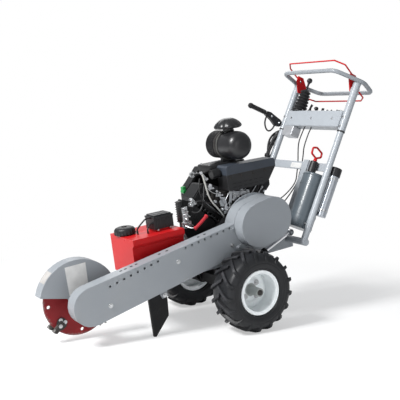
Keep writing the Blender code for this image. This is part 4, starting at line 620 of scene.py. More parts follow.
# ---------------------------------------------------------------- wheels
def lug(shape, centre, side, start, height):
    """One tread bar: from the tyre's middle, slanting out over the shoulder and down the side."""
    tread = bmesh.new()
    bmesh.ops.create_cube(tread, size=1.0)
    edges = [edge for edge in tread.edges if abs(edge.verts[0].co.x - edge.verts[1].co.x) > 0.5]
    bmesh.ops.subdivide_edges(tread, edges=edges, cuts=8)
    for vertex in tread.verts:
        share = vertex.co.x + 0.5
        top = vertex.co.z + 0.5
        across = vertex.co.y * (0.024 - 0.007 * top)
        if share < 0.72:
            out = -0.010 + share / 0.72 * 0.080
            casing = 0.2030 - 0.0020 * (share / 0.72) ** 2
            lift = Vector((0.0, 0.0, 1.0))
        else:
            down = (share - 0.72) / 0.28
            out = 0.070 + 0.0165 * math.sin(down * math.pi / 2)
            casing = 0.2010 - 0.029 * (1.0 - math.cos(down * math.pi / 2)) - 0.006 * down
            lift = Vector((0.0, 0.35 * down, 1.0 - 0.45 * down))
        over = height * top * (1.0 - 0.10 * max(0.0, share - 0.72) / 0.28)
        reach = casing - 0.004 + over * lift.z + 0.004 * top
        out += over * lift.y
        turn = start + 0.33 * min(share, 0.85) + across / 0.205
        vertex.co = centre + spoke(reach, turn, side * out)
    join(shape, tread)


def make_tyre(name, side, body):
    """Casing and tread bars of one tyre."""
    centre = Vector((AXLE.x, side * WHEEL_SIDE, WHEEL_HEIGHT))
    shape = bmesh.new()
    half = [(0.1060, 0.0735), (0.1225, 0.0740), (0.1232, 0.0795), (0.1285, 0.0850), (0.1340, 0.0850), (0.1365, 0.0875),
            (0.1400, 0.0890), (0.1560, 0.0910), (0.1580, 0.0898), (0.1610, 0.0898), (0.1630, 0.0908),
            (0.1740, 0.0890), (0.1860, 0.0835), (0.1950, 0.0750), (0.2000, 0.0630), (0.2020, 0.0400), (0.2030, 0.0)]
    profile = half + [(radius, -height) for radius, height in reversed(half[:-1])]
    lathe(shape, profile + [profile[0]], centre, Y, 72)
    count = sizes().lug_count
    for outward in (-1, 1):
        for index in range(count):
            start = math.tau * (index + (0.5 if outward > 0 else 0.0)) / count
            lug(shape, centre, outward, start, sizes().lug_height)
    piece = make(name + "_lug_tyre", shape, body, "tyre", bevel=0.0014, angle=38.0)
    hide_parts(name + "_tyre")


def make_wheel(name, side, body):
    """One wheel: tyre, rim, lip, swage, nuts, hub cap and valve stem."""
    make_tyre(name, side, body)
    dress(name + "_rim", "wheel", 0.0015, 30.0)
    outer = side * Y
    centre = Vector((AXLE.x, side * WHEEL_SIDE, WHEEL_HEIGHT))
    shape = bmesh.new()
    lathe(shape, [(0.1055, 0.066), (0.1060, 0.0745), (0.1130, 0.0786), (0.1160, 0.0800), (0.1185, 0.0800),
                  (0.1190, 0.0788), (0.1072, 0.0720), (0.1068, 0.066), (0.1055, 0.066)], centre, outer, 72)
    make(name + "_rim_lip", shape, body, "wheel", angle=45.0)
    shape = bmesh.new()
    face, _ = meets(name + "_rim", centre + outer * 0.2 + Vector((0.074, 0.0, 0.0)), -outer)
    dish = (face - centre).dot(outer)
    lathe(shape, [(0.098, dish - 0.001), (0.092, dish + 0.007), (0.080, dish + 0.010), (0.068, dish + 0.005),
                  (0.060, dish - 0.001), (0.098, dish - 0.001)], centre, outer, 64)
    make(name + "_dish_swage", shape, body, "wheel", angle=60.0)
    shape = bmesh.new()
    for index in range(4):
        turn = math.tau * (index + 0.5) / 4
        spot = centre + spoke(0.0505, turn, side * 0.12)
        seat, _ = meets(name + "_rim", spot, -outer)
        hexagon_bolt(shape, seat, outer, 0.0105, 0.011)
        bar(shape, seat, seat + outer * 0.019, 0.0048, 12)
    make(name + "_wheel_nuts", shape, body, "steel", bevel=0.0004)
    hub, _ = meets(name + "_rim", centre + outer * 0.2 + Vector((0.006, 0.0, 0.0)), -outer)
    level = (hub - centre).dot(outer)
    shape = bmesh.new()
    lathe(shape, [(0.0, level + 0.0085), (0.008, level + 0.0080), (0.014, level + 0.0055), (0.016, level + 0.0005),
                  (0.016, level - 0.002), (0.0, level - 0.002)], centre, outer, 32)
    bar(shape, centre + outer * (level + 0.004), centre + outer * (level + 0.012), 0.0062, 6)
    make(name + "_hub_cap", shape, body, "forged", bevel=0.0005)
    shape = bmesh.new()
    stem = centre + Vector((-0.058, 0.0, 0.062)) + outer * dish
    neck = Vector((0.004, 0.0, -0.004))
    bar(shape, stem, stem + outer * 0.016 + neck, 0.0040, 12, 0.0034)
    bar(shape, stem + outer * 0.015 + neck, stem + outer * 0.027 + Vector((0.007, 0.0, -0.007)), 0.0046, 12)
    make(name + "_valve_stem", shape, body, "rubber", bevel=0.0004)


class GRINDER_OT_wheels(bpy.types.Operator):
    """Lug tyres, rims, hubs and valve stems"""
    bl_idname = "grinder.wheels"
    bl_label = "Wheels"

    def execute(self, context):
        make_wheel("left", -1, "left_wheel")
        make_wheel("right", 1, "right_wheel")
        return {"FINISHED"}


# ---------------------------------------------------------------- chassis and fuel tank
class GRINDER_OT_chassis(bpy.types.Operator):
    """Main frame, axle carriage, pivot plate and lift cylinder"""
    bl_idname = "grinder.chassis"
    bl_label = "Chassis"

    def execute(self, context):
        dress("main_frame", "silver", 0.002)
        dress("axle_carriage", "black", 0.0015)
        dress("boom_pivot_plate", "silver", 0.0012)
        dress("drive_shaft", "steel", 0.0008)
        dress("lift_cylinder", "black", 0.001)
        dress("lift_rod", "chrome", 0.0006)
        shape = bmesh.new()
        for degrees in (-20, 18, 100, 138, 176, 214):
            turn = math.radians(degrees)
            spot = (0.190 + 0.178 * math.cos(turn), -0.5, 0.285 + 0.178 * math.sin(turn))
            bolt_on(shape, "boom_pivot_plate", spot, NEAR, CHASSIS, sizes().bolt_radius, 0.005)
        for x in (-0.50, -0.30, -0.10, 0.36):
            for side in (NEAR, Y):
                bolt_on(shape, "main_frame", (x, side.y * 0.5, 0.110), side, CHASSIS, 0.0075, 0.006)
        make("frame_bolts", shape, "machine", "zinc", CHASSIS, bevel=0.0004)
        return {"FINISHED"}


class GRINDER_OT_fuel(bpy.types.Operator):
    """Fuel tank, its cap, and the vapour canister with its hoses"""
    bl_idname = "grinder.fuel"
    bl_label = "Fuel tank"

    def execute(self, context):
        dress("fuel_tank", "red", 0.0045, 40.0)
        cap = Vector((-0.505, 0.055, 0.374))
        shape = bmesh.new()
        lathe(shape, [(0.0, 0.041), (0.020, 0.0425), (0.040, 0.0405), (0.050, 0.036), (0.0545, 0.029), (0.0555, 0.022),
                      (0.0555, 0.006), (0.052, 0.002), (0.0455, 0.002), (0.0455, 0.016), (0.0, 0.016)], cap, Z, 48)
        for index in range(20):
            turn = math.tau * index / 20
            way = Vector((math.cos(turn), math.sin(turn), 0.0))
            bar(shape, cap + way * 0.0545 + Z * 0.005, cap + way * 0.0535 + Z * 0.030, 0.0042, 8, 0.0030)
        lathe(shape, [(0.0, 0.0405), (0.0135, 0.0405), (0.0135, 0.0455), (0.011, 0.047), (0.0, 0.047)], cap, Z, 24)
        piece = make("ribbed_fuel_cap", shape, "tank_cap", "plastic", CHASSIS, bevel=0.0008)
        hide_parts("fuel_cap")

        low = Vector((-0.385, -0.065, 0.3863))
        high = Vector((-0.270, 0.035, 0.4643))
        shape = bmesh.new()
        brick(shape, low, high - Vector((0.0, 0.0, 0.014)))
        brick(shape, low + Vector((-0.002, -0.002, 0.058)), high + Vector((0.002, 0.002, -0.010)))
        brick(shape, low + Vector((0.006, 0.006, 0.062)), high - Vector((0.006, 0.006, 0.002)))
        for index in range(5):
            x = low.x + 0.016 + index * 0.0205
            brick(shape, (x, low.y - 0.0025, low.z + 0.006), (x + 0.006, low.y + 0.002, low.z + 0.054))
            brick(shape, (x, high.y - 0.002, low.z + 0.006), (x + 0.006, high.y + 0.0025, low.z + 0.054))
        for index in range(3):
            x = low.x + 0.026 + index * 0.028
            brick(shape, (x, low.y + 0.014, high.z - 0.004), (x + 0.010, high.y - 0.014, high.z - 0.0005))
        lathe(shape, [(0.0, -0.001), (0.008, -0.001), (0.008, 0.005), (0.0055, 0.005), (0.0055, 0.011), (0.0, 0.011)],
              (low.x, -0.030, low.z + 0.064), -X, 16)
        puck(shape, 0.008, -0.001, 0.005, (low.x, -0.046, low.z + 0.035), -X, 16)
        piece = make("vapour_canister_case", shape, "machine", "plastic", CHASSIS, bevel=0.0018)
        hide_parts("vapor_canister")
        for node in ("vent_hose_upper", "vent_hose_lower"):
            dress(node, "rubber", 0.0, 60.0)
        shape = bmesh.new()
        for x in (-0.3655, -0.2895):
            brick(shape, (x - 0.006, -0.068, 0.380), (x + 0.006, 0.038, 0.3835))
        for x in (-0.3655, -0.2895):
            hexagon_bolt(shape, (x, -0.0665, 0.3835), Z, 0.0045, 0.004)
        make("canister_clamp", shape, "machine", "zinc", CHASSIS, bevel=0.0004)
        shape = bmesh.new()
        for y in (-0.080, 0.110):
            brick(shape, (-0.540, y - 0.009, 0.3745), (-0.526, y + 0.009, 0.3760))
        make("tank_weld_tabs", shape, "machine", "red", CHASSIS, bevel=0.0005)
        return {"FINISHED"}


# ---------------------------------------------------------------- engine
def make_air_cleaner():
    """Canister, ribbed cover, clamp band and rain cap."""
    centre = Vector((0.170, 0.0, 0.749))
    shape = bmesh.new()
    lathe(shape, [(0.0, -0.1555), (0.020, -0.1550), (0.036, -0.1530), (0.050, -0.1480), (0.062, -0.1400),
                  (0.0705, -0.1290), (0.0760, -0.1160), (0.0785, -0.1020), (0.0790, -0.0850), (0.0790, 0.0270),
                  (0.0770, 0.0345), (0.0, 0.0345)], centre, Y, 64)
    brick(shape, (0.125, 0.0, 0.6585), (0.215, 0.023, 0.700))
    bar(shape, (0.170, -0.020, 0.800), (0.170, -0.020, 0.8418), 0.030, 32)
    ring(shape, (0.170, -0.020, 0.829), Z, 0.0305, 0.0035, 32, 8)
    piece = make("air_cleaner_canister", shape, "machine", "gloss", CHASSIS, bevel=0.0008)
    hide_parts("air_cleaner_body")
    shape = bmesh.new()
    ribs = []
    for index in range(6):
        start = 0.040 + index * 0.0120
        ribs += [(0.0735, start), (0.0735, start + 0.0045), (0.0785, start + 0.0060), (0.0785, start + 0.0105)]
    dome = [(0.072, 0.1150), (0.066, 0.1210), (0.050, 0.1250), (0.046, 0.1225), (0.018, 0.1225), (0.014, 0.1248),
            (0.0, 0.1248)]
    lathe(shape, [(0.0, 0.0352), (0.0735, 0.0352)] + ribs + dome, centre, Y, 64)
    piece = make("ribbed_filter_cover", shape, "machine", "plastic", CHASSIS, bevel=0.0006)
    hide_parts("air_cleaner_cover")
    shape = bmesh.new()
    sleeve(shape, 0.0792, 0.0806, 0.012, 0.030, centre, Y, 64)
    for turn in (math.radians(70), math.radians(250)):
        spot = centre + Vector((0.0815 * math.cos(turn), 0.022, 0.0815 * math.sin(turn)))
        brick(shape, spot - Vector((0.007, 0.016, 0.004)), spot + Vector((0.007, 0.016, 0.004)))
    make("filter_clamp_band", shape, "machine", "forged", CHASSIS, bevel=0.0005)
    shape = bmesh.new()
    ring(shape, centre + Vector((0.0, -0.004, 0.0)), Y, 0.0800, 0.0044, 64, 8)
    make("filter_clamp_wire", shape, "machine", "strap", CHASSIS)
    cap = Vector((0.170, -0.020, 0.842))
    shape = bmesh.new()
    lathe(shape, [(0.0, 0.0003), (0.050, 0.0003), (0.0730, 0.0025), (0.0785, 0.0090), (0.0790, 0.0130),
                  (0.0765, 0.0200), (0.0660, 0.0330), (0.0510, 0.0450), (0.0350, 0.0530), (0.0240, 0.0565),
                  (0.0120, 0.0578), (0.0, 0.0580)], cap, Z, 64)
    for vertex in shape.verts:
        away = vertex.co - cap
        reach = math.hypot(away.x, away.y)
        if reach > 0.03:
            flute = abs(math.sin(4.0 * math.atan2(away.y, away.x))) ** 0.6
            sink = 1.0 - 0.10 * (1.0 - flute) * min(1.0, (reach - 0.03) / 0.03)
            vertex.co.x = cap.x + away.x * sink
            vertex.co.y = cap.y + away.y * sink
    piece = make("fluted_rain_cap", shape, "machine", "gloss", CHASSIS, angle=50.0)
    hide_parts("rain_cap")


def spring(name, start, end, radius, turns):
    """A coil spring between two points, with straight ends."""
    start, end = Vector(start), Vector(end)
    along = (end - start).normalized()
    side = along.orthogonal().normalized()
    other = along.cross(side)
    route = [start]
    for step in range(turns * 8 + 1):
        turn = math.tau * step / 8
        spot = start.lerp(end, 0.15 + 0.7 * step / (turns * 8))
        route.append(spot + side * radius * math.cos(turn) + other * radius * math.sin(turn))
    route.append(end)
    hose(name, route, SPRING_WIRE, "machine", "zinc", 1, where=CHASSIS)


def make_linkage():
    """Governor arm, throttle rods, springs, clamps and fittings on the engine's near side."""
    shape = bmesh.new()
    slab(shape, [(0.052, 0.418), (0.066, 0.414), (0.084, 0.500), (0.078, 0.524), (0.064, 0.520), (0.066, 0.496)],
         -0.122, -0.119)
    slab(shape, [(0.118, 0.438), (0.170, 0.420), (0.178, 0.436), (0.160, 0.452), (0.128, 0.460)], -0.120, -0.117)
    slab(shape, [(0.008, 0.440), (0.034, 0.432), (0.050, 0.452), (0.044, 0.484), (0.020, 0.488), (0.004, 0.466)],
         -0.110, -0.1065)
    slab(shape, [(-0.020, 0.500), (0.012, 0.492), (0.018, 0.505), (-0.012, 0.522)], -0.116, -0.1135)
    brick(shape, (0.090, -0.118, 0.452), (0.116, -0.098, 0.490))
    brick(shape, (0.020, -0.122, 0.394), (0.052, -0.100, 0.412))
    make("governor_plates", shape, "machine", "zinc", CHASSIS, bevel=0.0006)
    shape = bmesh.new()
    for x, z, radius in ((0.058, 0.424, 0.0058), (0.072, 0.510, 0.0046), (0.146, 0.440, 0.0055),
                         (0.024, 0.472, 0.0050), (0.038, 0.446, 0.0046), (0.103, 0.480, 0.0050),
                         (0.168, 0.430, 0.0044), (-0.002, 0.506, 0.0046)):
        hexagon_bolt(shape, (x, -0.121, z), NEAR, radius, 0.005)
    for x, z in ((0.012, 0.424), (0.132, 0.412), (-0.028, 0.474)):
        lathe(shape, [(0.0, -0.002), (0.0095, -0.002), (0.0095, 0.006), (0.0070, 0.010), (0.0, 0.010)],
              (x, -0.112, z), NEAR, 20)
    make("governor_bolts", shape, "machine", "zinc", CHASSIS, bevel=0.0003)
    rods = (
        [(0.074, -0.1245, 0.512), (0.050, -0.1250, 0.500), (0.034, -0.1240, 0.470), (0.026, -0.1220, 0.452)],
        [(0.072, -0.1260, 0.516), (0.110, -0.1270, 0.508), (0.140, -0.1260, 0.484), (0.168, -0.1240, 0.446)],
        [(0.060, -0.1260, 0.428), (0.096, -0.1280, 0.442), (0.124, -0.1260, 0.436), (0.150, -0.1230, 0.444)],
        [(-0.020, -0.1180, 0.516), (-0.052, -0.1160, 0.530), (-0.064, -0.1120, 0.556)],
        [(0.112, -0.1220, 0.470), (0.140, -0.1230, 0.500), (0.176, -0.1200, 0.506)],
    )
    for index, rod in enumerate(rods):
        hose(f"throttle_rod_{index + 1}", rod, 0.0022, "machine", "zinc", 2, where=CHASSIS)
    spring("governor_spring", (0.078, -0.1255, 0.498), (0.150, -0.1240, 0.452), 0.0038, 12)
    spring("return_spring", (0.024, -0.1160, 0.470), (-0.010, -0.1160, 0.512), 0.0034, 9)
    shape = bmesh.new()
    for x, z in ((-0.150, 0.500), (-0.136, 0.484), (-0.156, 0.478)):
        lathe(shape, [(0.0, 0.0), (0.0125, 0.0), (0.0125, 0.018), (0.0095, 0.024), (0.0, 0.024)], (x, -0.062, z),
              NEAR, 18)
    for x, z, radius, reach in ((-0.196, 0.462, 0.0085, 0.020), (-0.184, 0.446, 0.0070, 0.026),
                                (-0.192, 0.428, 0.0095, 0.018), (-0.176, 0.418, 0.0065, 0.030),
                                (-0.188, 0.402, 0.0080, 0.024), (-0.204, 0.386, 0.0100, 0.016),
                                (-0.178, 0.380, 0.0070, 0.028), (-0.190, 0.362, 0.0085, 0.022),
                                (-0.164, 0.366, 0.0060, 0.030)):
        stud(shape, radius, 0.7, reach * 0.6, reach * 0.7, reach, (x, -0.052, z), 6 if reach > 0.022 else 18)
    brick(shape, (-0.206, -0.056, 0.392), (-0.172, -0.046, 0.470))
    brick(shape, (-0.214, -0.056, 0.352), (-0.156, -0.046, 0.388))
    make("starter_solenoid_fittings", shape, "machine", "zinc", CHASSIS, bevel=0.0006)
    shape = bmesh.new()
    slab(shape, [(-0.098, 0.646), (-0.086, 0.648), (-0.064, 0.620), (-0.052, 0.596), (-0.060, 0.592),
                 (-0.078, 0.616)], -0.104, -0.100)
    slab(shape, [(-0.056, 0.562), (-0.040, 0.574), (-0.030, 0.558), (-0.034, 0.542), (-0.048, 0.542)], -0.108, -0.1035)
    for x, y, z, radius in ((-0.088, -0.104, 0.640, 0.0070), (-0.058, -0.104, 0.604, 0.0062),
                            (-0.044, -0.108, 0.566, 0.0090), (-0.030, -0.108, 0.548, 0.0058),
                            (-0.010, -0.112, 0.528, 0.0060), (0.006, -0.112, 0.516, 0.0052)):
        stud(shape, radius, 0.7, 0.005, 0.007, 0.012, (x, y, z))
    make("air_duct_brackets", shape, "machine", "aluminium", CHASSIS, bevel=0.0006)
    shape = bmesh.new()
    bar(shape, (-0.060, -0.085, 0.560), (0.006, -0.088, 0.530), 0.020, 20)
    bar(shape, (0.000, -0.060, 0.612), (0.050, -0.062, 0.616), 0.026, 24)
    bar(shape, (0.040, -0.060, 0.470), (0.096, -0.060, 0.492), 0.022, 20)
    bar(shape, (0.130, -0.070, 0.452), (0.130, -0.104, 0.452), 0.019, 20)
    bar(shape, (0.066, -0.070, 0.446), (0.066, -0.108, 0.446), 0.016, 20)
    brick(shape, (0.150, -0.106, 0.440), (0.204, -0.070, 0.494))
    make("intake_elbow_and_fuel_bowl", shape, "machine", "engine", CHASSIS, bevel=0.0016)
    shape = bmesh.new()
    slab(shape, [(0.084, 0.508), (0.176, 0.494), (0.184, 0.484), (0.176, 0.474), (0.150, 0.478), (0.120, 0.470),
                 (0.098, 0.484)], -0.116, -0.1125)
    slab(shape, [(0.186, 0.500), (0.204, 0.494), (0.208, 0.462), (0.196, 0.446), (0.184, 0.462)], -0.112, -0.1085)
    slab(shape, [(0.026, 0.420), (0.052, 0.398), (0.062, 0.410), (0.050, 0.430), (0.034, 0.446)], -0.118, -0.1145)
    brick(shape, (0.146, -0.114, 0.500), (0.162, -0.100, 0.512))
    for x, z, radius in ((0.100, 0.500, 0.0072), (0.128, 0.490, 0.0058), (0.160, 0.486, 0.0066),
                         (0.194, 0.484, 0.0070), (0.198, 0.460, 0.0056), (0.044, 0.414, 0.0062),
                         (0.052, 0.402, 0.0050), (0.130, 0.452, 0.0105), (0.066, 0.446, 0.0092),
                         (0.086, 0.462, 0.0055), (0.012, 0.486, 0.0055), (0.022, 0.500, 0.0048)):
        stud(shape, radius, 0.65, 0.0045, 0.006, 0.010, (x, -0.1120, z))
    make("carburettor_fittings", shape, "machine", "aluminium", CHASSIS, bevel=0.0005)
    lines = (
        ("fuel_line", [(-0.140, -0.094, 0.490), (-0.110, -0.108, 0.500), (-0.080, -0.114, 0.474),
                       (-0.040, -0.114, 0.462), (0.004, -0.104, 0.462)], 0.0038),
        ("breather_line", [(-0.160, -0.080, 0.440), (-0.140, -0.100, 0.428), (-0.110, -0.108, 0.440),
                           (-0.086, -0.100, 0.500), (-0.060, -0.070, 0.560)], 0.0045),
        ("plug_lead_front", [(-0.060, -0.034, 0.600), (-0.086, -0.058, 0.560), (-0.096, -0.072, 0.500),
                             (-0.060, -0.086, 0.440), (0.000, -0.100, 0.404)], 0.0035),
        ("plug_lead_rear", [(0.318, -0.030, 0.520), (0.300, -0.070, 0.500), (0.262, -0.100, 0.470),
                            (0.220, -0.112, 0.440), (0.190, -0.110, 0.400)], 0.0035),
    )
    for name, route, radius in lines:
        hose(name, route, radius, "machine", "rubber", 3, where=CHASSIS)
    route = [(-0.085, -0.112, 0.633), (-0.076, -0.116, 0.574), (-0.070, -0.120, 0.501), (-0.034, -0.124, 0.452),
             (0.0, -0.122, 0.408), (0.018, -0.116, 0.380)]
    hose("braided_vent_tube", route, 0.0050, "machine", "braid", 4, where=CHASSIS)
    route = [(-0.172, -0.110, 0.352), (-0.146, -0.114, 0.368), (-0.118, -0.114, 0.386), (-0.088, -0.110, 0.408)]
    hose("starter_cable_boot", route, 0.0092, "machine", "cable_red", 4, where=CHASSIS)
    shape = bmesh.new()
    for share in (0.05, 0.95):
        spot = Vector(route[0]).lerp(Vector(route[-1]), share)
        puck(shape, 0.0112, -0.006, 0.006, spot, (Vector(route[-1]) - Vector(route[0])).normalized())
    make("starter_boot_lips", shape, "machine", "cable_red", CHASSIS, bevel=0.0012)
    route = [(-0.096, -0.110, 0.404), (-0.078, -0.106, 0.414), (-0.040, -0.096, 0.396), (-0.010, -0.086, 0.352)]
    hose("starter_cable", route, 0.0040, "machine", "rubber", 3, where=CHASSIS)
    route = [(-0.164, -0.108, 0.358), (-0.180, -0.100, 0.352), (-0.196, -0.080, 0.360), (-0.200, -0.056, 0.372)]
    hose("starter_cable_end", route, 0.0040, "machine", "zinc", 3, where=CHASSIS)


class GRINDER_OT_engine(bpy.types.Operator):
    """Engine with its cylinders, blower, muffler, air cleaner and linkages"""
    bl_idname = "grinder.engine"
    bl_label = "Engine"

    def execute(self, context):
        for node in ("crankcase", "front_cylinder", "rear_cylinder", "blower_housing", "engine_shroud", "oil_cooler"):
            dress(node, "engine", 0.0015)
        dress("top_cover", "engine", 0.0015, 40.0)
        dress("muffler", "muffler", 0.006, 25.0)
        dress("carburettor", "forged", 0.0015)
        make_air_cleaner()
        make_linkage()
        self.make_muffler_details()
        self.make_blower_details()
        self.make_cylinder_details()
        return {"FINISHED"}

    def make_muffler_details(self):
        shape = bmesh.new()
        brick(shape, (0.064, -0.1312, 0.5990), (0.372, -0.1290, 0.6010))
        for x in (0.078, 0.150, 0.230, 0.310, 0.362):
            hexagon_bolt(shape, (x, -0.1300, 0.586), NEAR, 0.0045, 0.004)
        make("muffler_seam_and_bolts", shape, "machine", "forged", CHASSIS, slot="engine_black", bevel=0.0004)
        shape = bmesh.new()
        for index in range(6):
            x = 0.090 + index * 0.036
            brick(shape, (x, -0.1312, 0.528), (x + 0.022, -0.1285, 0.5335))
            brick(shape, (x, -0.1312, 0.548), (x + 0.022, -0.1285, 0.5535))
        make("muffler_louvres", shape, "machine", "engine", CHASSIS, bevel=0.0010)
        shape = bmesh.new()
        lathe(shape, [(0.010, -0.030), (0.0165, -0.030), (0.0165, 0.012), (0.0145, 0.012), (0.0145, -0.024),
                      (0.010, -0.024), (0.010, -0.030)], (0.3895, -0.082, 0.596), X, 32)
        make("muffler_outlet", shape, "machine", "forged", CHASSIS)
        shape = bmesh.new()
        sleeve(shape, 0.0082, 0.0168, -0.0050, 0.0050, (-0.090, -0.0117, 0.626), Y, 32)
        make("lifting_ring", shape, "machine", "zinc", CHASSIS, bevel=0.0012)
        shape = bmesh.new()
        for x, y in ((0.030, -0.010), (0.030, 0.080), (0.234, -0.010), (0.234, 0.080)):
            hexagon_bolt(shape, (x, y, 0.6582), Z, 0.0050, 0.004)
        for x in (-0.060, -0.030):
            hexagon_bolt(shape, (x, -0.0117, 0.6282), Z, 0.0042, 0.004)
        make("top_cover_bolts", shape, "machine", "zinc", CHASSIS, bevel=0.0003)

    def make_blower_details(self):
        shape = bmesh.new()
        centre = Vector((0.144, 0.1603, 0.385))
        lathe(shape, [(0.0, -0.001), (0.112, -0.001), (0.110, 0.008), (0.098, 0.014), (0.030, 0.016), (0.0, 0.016)],
              centre, Y, 64)
        for index in range(36):
            turn = math.tau * index / 36
            way = spoke(1.0, turn)
            bar(shape, centre + way * 0.036 + Y * 0.0165, centre + way * 0.096 + Y * 0.0145, 0.0016, 6)
        ring(shape, centre + Y * 0.0165, Y, 0.034, 0.0022, 40, 8)
        ring(shape, centre + Y * 0.0140, Y, 0.0975, 0.0026, 64, 8)
        make("blower_screen", shape, "machine", "plastic", CHASSIS)
        shape = bmesh.new()
        for x, z in ((-0.066, 0.420), (-0.066, 0.490), (0.010, 0.600), (0.270, 0.600), (0.286, 0.430), (0.060, 0.150),
                     (0.230, 0.150)):
            bolt_on(shape, "blower_housing", (x, 0.6, z), Y, CHASSIS, 0.0050, 0.004)
        make("blower_bolts", shape, "machine", "zinc", CHASSIS, bevel=0.0003)
        shape = bmesh.new()
        bar(shape, (-0.0840, 0.100, 0.520), (-0.0840, 0.134, 0.520), 0.0125, 24)
        brick(shape, (-0.0950, 0.104, 0.520), (-0.0740, 0.130, 0.548))
        make("green_drain_clip", shape, "machine", "green", CHASSIS, bevel=0.004)
        shape = bmesh.new()
        for index in range(9):
            z = 0.388 + index * 0.0132
            brick(shape, (-0.2165, -0.043, z), (-0.2120, -0.005, z + 0.0042))
        make("oil_cooler_fins", shape, "machine", "engine", CHASSIS, bevel=0.0006)
        shape = bmesh.new()
        for y in (-0.0205, 0.0205):
            for index in range(7):
                low = Vector((-0.178 + index * 0.0150, y, 0.330))
                brick(shape, low - Vector((0.0020, 0.0015, 0.0)), low + Vector((0.0020, 0.0015, 0.120)))
        make("shroud_ribs", shape, "machine", "engine", CHASSIS, bevel=0.0008)

    def make_cylinder_details(self):
        for name, lean in (("front", -45.0), ("rear", 45.0)):
            head = CHASSIS @ Matrix.Translation((0.144, 0.020, 0.3055)) @ Matrix.Rotation(math.radians(lean), 4, "Y")
            shape = bmesh.new()
            brick(shape, (-0.044, -0.058, 0.270), (0.044, 0.046, 0.318))
            for x in (-0.034, 0.034):
                for y in (-0.046, 0.034):
                    hexagon_bolt(shape, (x, y, 0.3180), Z, 0.0055, 0.005)
            lathe(shape, [(0.0, 0.0), (0.012, 0.0), (0.012, 0.020), (0.008, 0.024), (0.007, 0.046), (0.0, 0.046)],
                  (0.0, -0.052, 0.285), NEAR, 20)
            make(name + "_valve_cover", shape, "machine", "engine", head, bevel=0.0030)
            shape = bmesh.new()
            for x in (-0.020, 0.020):
                bar(shape, (x, -0.0585, 0.100), (x, -0.0585, 0.262), 0.0035, 10)
                hexagon_bolt(shape, (x, -0.0590, 0.262), NEAR, 0.0050, 0.004)
            make(name + "_pushrod_tubes", shape, "machine", "zinc", head, bevel=0.0003)


# ---------------------------------------------------------------- boom, covers, guard, cutter and leg
class GRINDER_OT_boom(bpy.types.Operator):
    """Boom with its belt cover, drive-end cover, guard and stand leg"""
    bl_idname = "grinder.boom"
    bl_label = "Boom"

    def execute(self, context):
        rows = [(-0.896 + 0.2840 * i / 7, 0.058 + 0.009 * i / 7) for i in range(8)]
        for index in range(8):
            x = -0.440 + 0.2830 * index / 7
            edge, _ = meets("belt_cover", (x, COVER_FACE + 0.002, 0.5), -Z, BOOM)
            rows.append((x, edge.z - 0.0125))
        drills = [(BOOM @ Vector((x, COVER_FACE - 0.01, z)), BOOM @ Vector((x, COVER_FACE + 0.03, z)), 0.0058)
                  for x, z in rows]
        dress("belt_cover", "silver", 0.0011, drills=drills)
        dress("boom_housing", "silver", 0.0016)
        dress("pulley_cover", "silver", 0.0045, 40.0)
        dress("drive_belt", "rubber", 0.0006)
        shape = bmesh.new()
        for x, z in ((-0.924, -0.035), (-0.503, 0.017), (-0.170, -0.035)):
            bolt_on(shape, "belt_cover", (x, -0.6, z), NEAR, BOOM, 0.0082, 0.007)
        make("cover_bolts", shape, "boom", "zinc", BOOM, bevel=0.0004)
        # near-black discs on the boom's top stand in for slots: painted shade
        shape = bmesh.new()
        for x in (-0.802, -0.776, -0.741, -0.712, -0.574, -0.528, -0.330, -0.290):
            seat, facing = meets("boom_housing", (x, -0.176, 0.5), -Z, BOOM)
            puck(shape, 0.0080, -0.002, 0.0003, seat, facing.normalized())
        make("boom_top_slot_shade_discs", shape, "boom", "void", BOOM)
        shape = bmesh.new()
        for x, z in ((-0.130, 0.052), (-0.128, -0.060)):
            seat, _ = meets("belt_cover", (x, -0.6, z), Y, BOOM)
            brick(shape, seat - Vector((0.020, 0.003, 0.009)), seat + Vector((0.012, 0.001, 0.009)))
            hexagon_bolt(shape, seat + Vector((-0.008, -0.003, 0.0)), NEAR, 0.0060, 0.005)
        make("drive_cover_tabs", shape, "boom", "silver", BOOM, bevel=0.0010)
        self.make_guard()
        dress("stand_leg", "black", 0.0015)
        shape = bmesh.new()
        hexagon_bolt(shape, (AXLE.x - 0.45147, -0.1985, 0.21674), NEAR, 0.0085, 0.007)
        make("leg_pivot_bolt", shape, "leg", "zinc", bevel=0.0004)
        return {"FINISHED"}

    def make_guard(self):
        dress("cutter_guard", "silver", 0.0018, 25.0)
        shape = bmesh.new()
        slab(shape, [(-0.8734, 0.388), (-0.7624, 0.405), (-0.7484, 0.292), (-0.8494, 0.242)], GUARD_FACE,
             GUARD_FACE - 0.0007)
        make("guard_face_plate", shape, "boom", "label", bevel=0.0002)
        shape = bmesh.new()
        outline = []
        for radius, degrees in ((0.2119, 133), (0.2119, 139), (0.2119, 145), (0.2119, 151), (0.2127, 151),
                                (0.2127, 145), (0.2127, 139), (0.2127, 133)):
            turn = math.radians(degrees)
            outline.append((CUTTER_AXIS.x + radius * math.cos(turn), CUTTER_AXIS.z + radius * math.sin(turn)))
        slab(shape, outline, -0.054, 0.010)
        # the band's label film is painted darker than the face label: painted shade
        make("guard_band_plate", shape, "boom", "band_label")


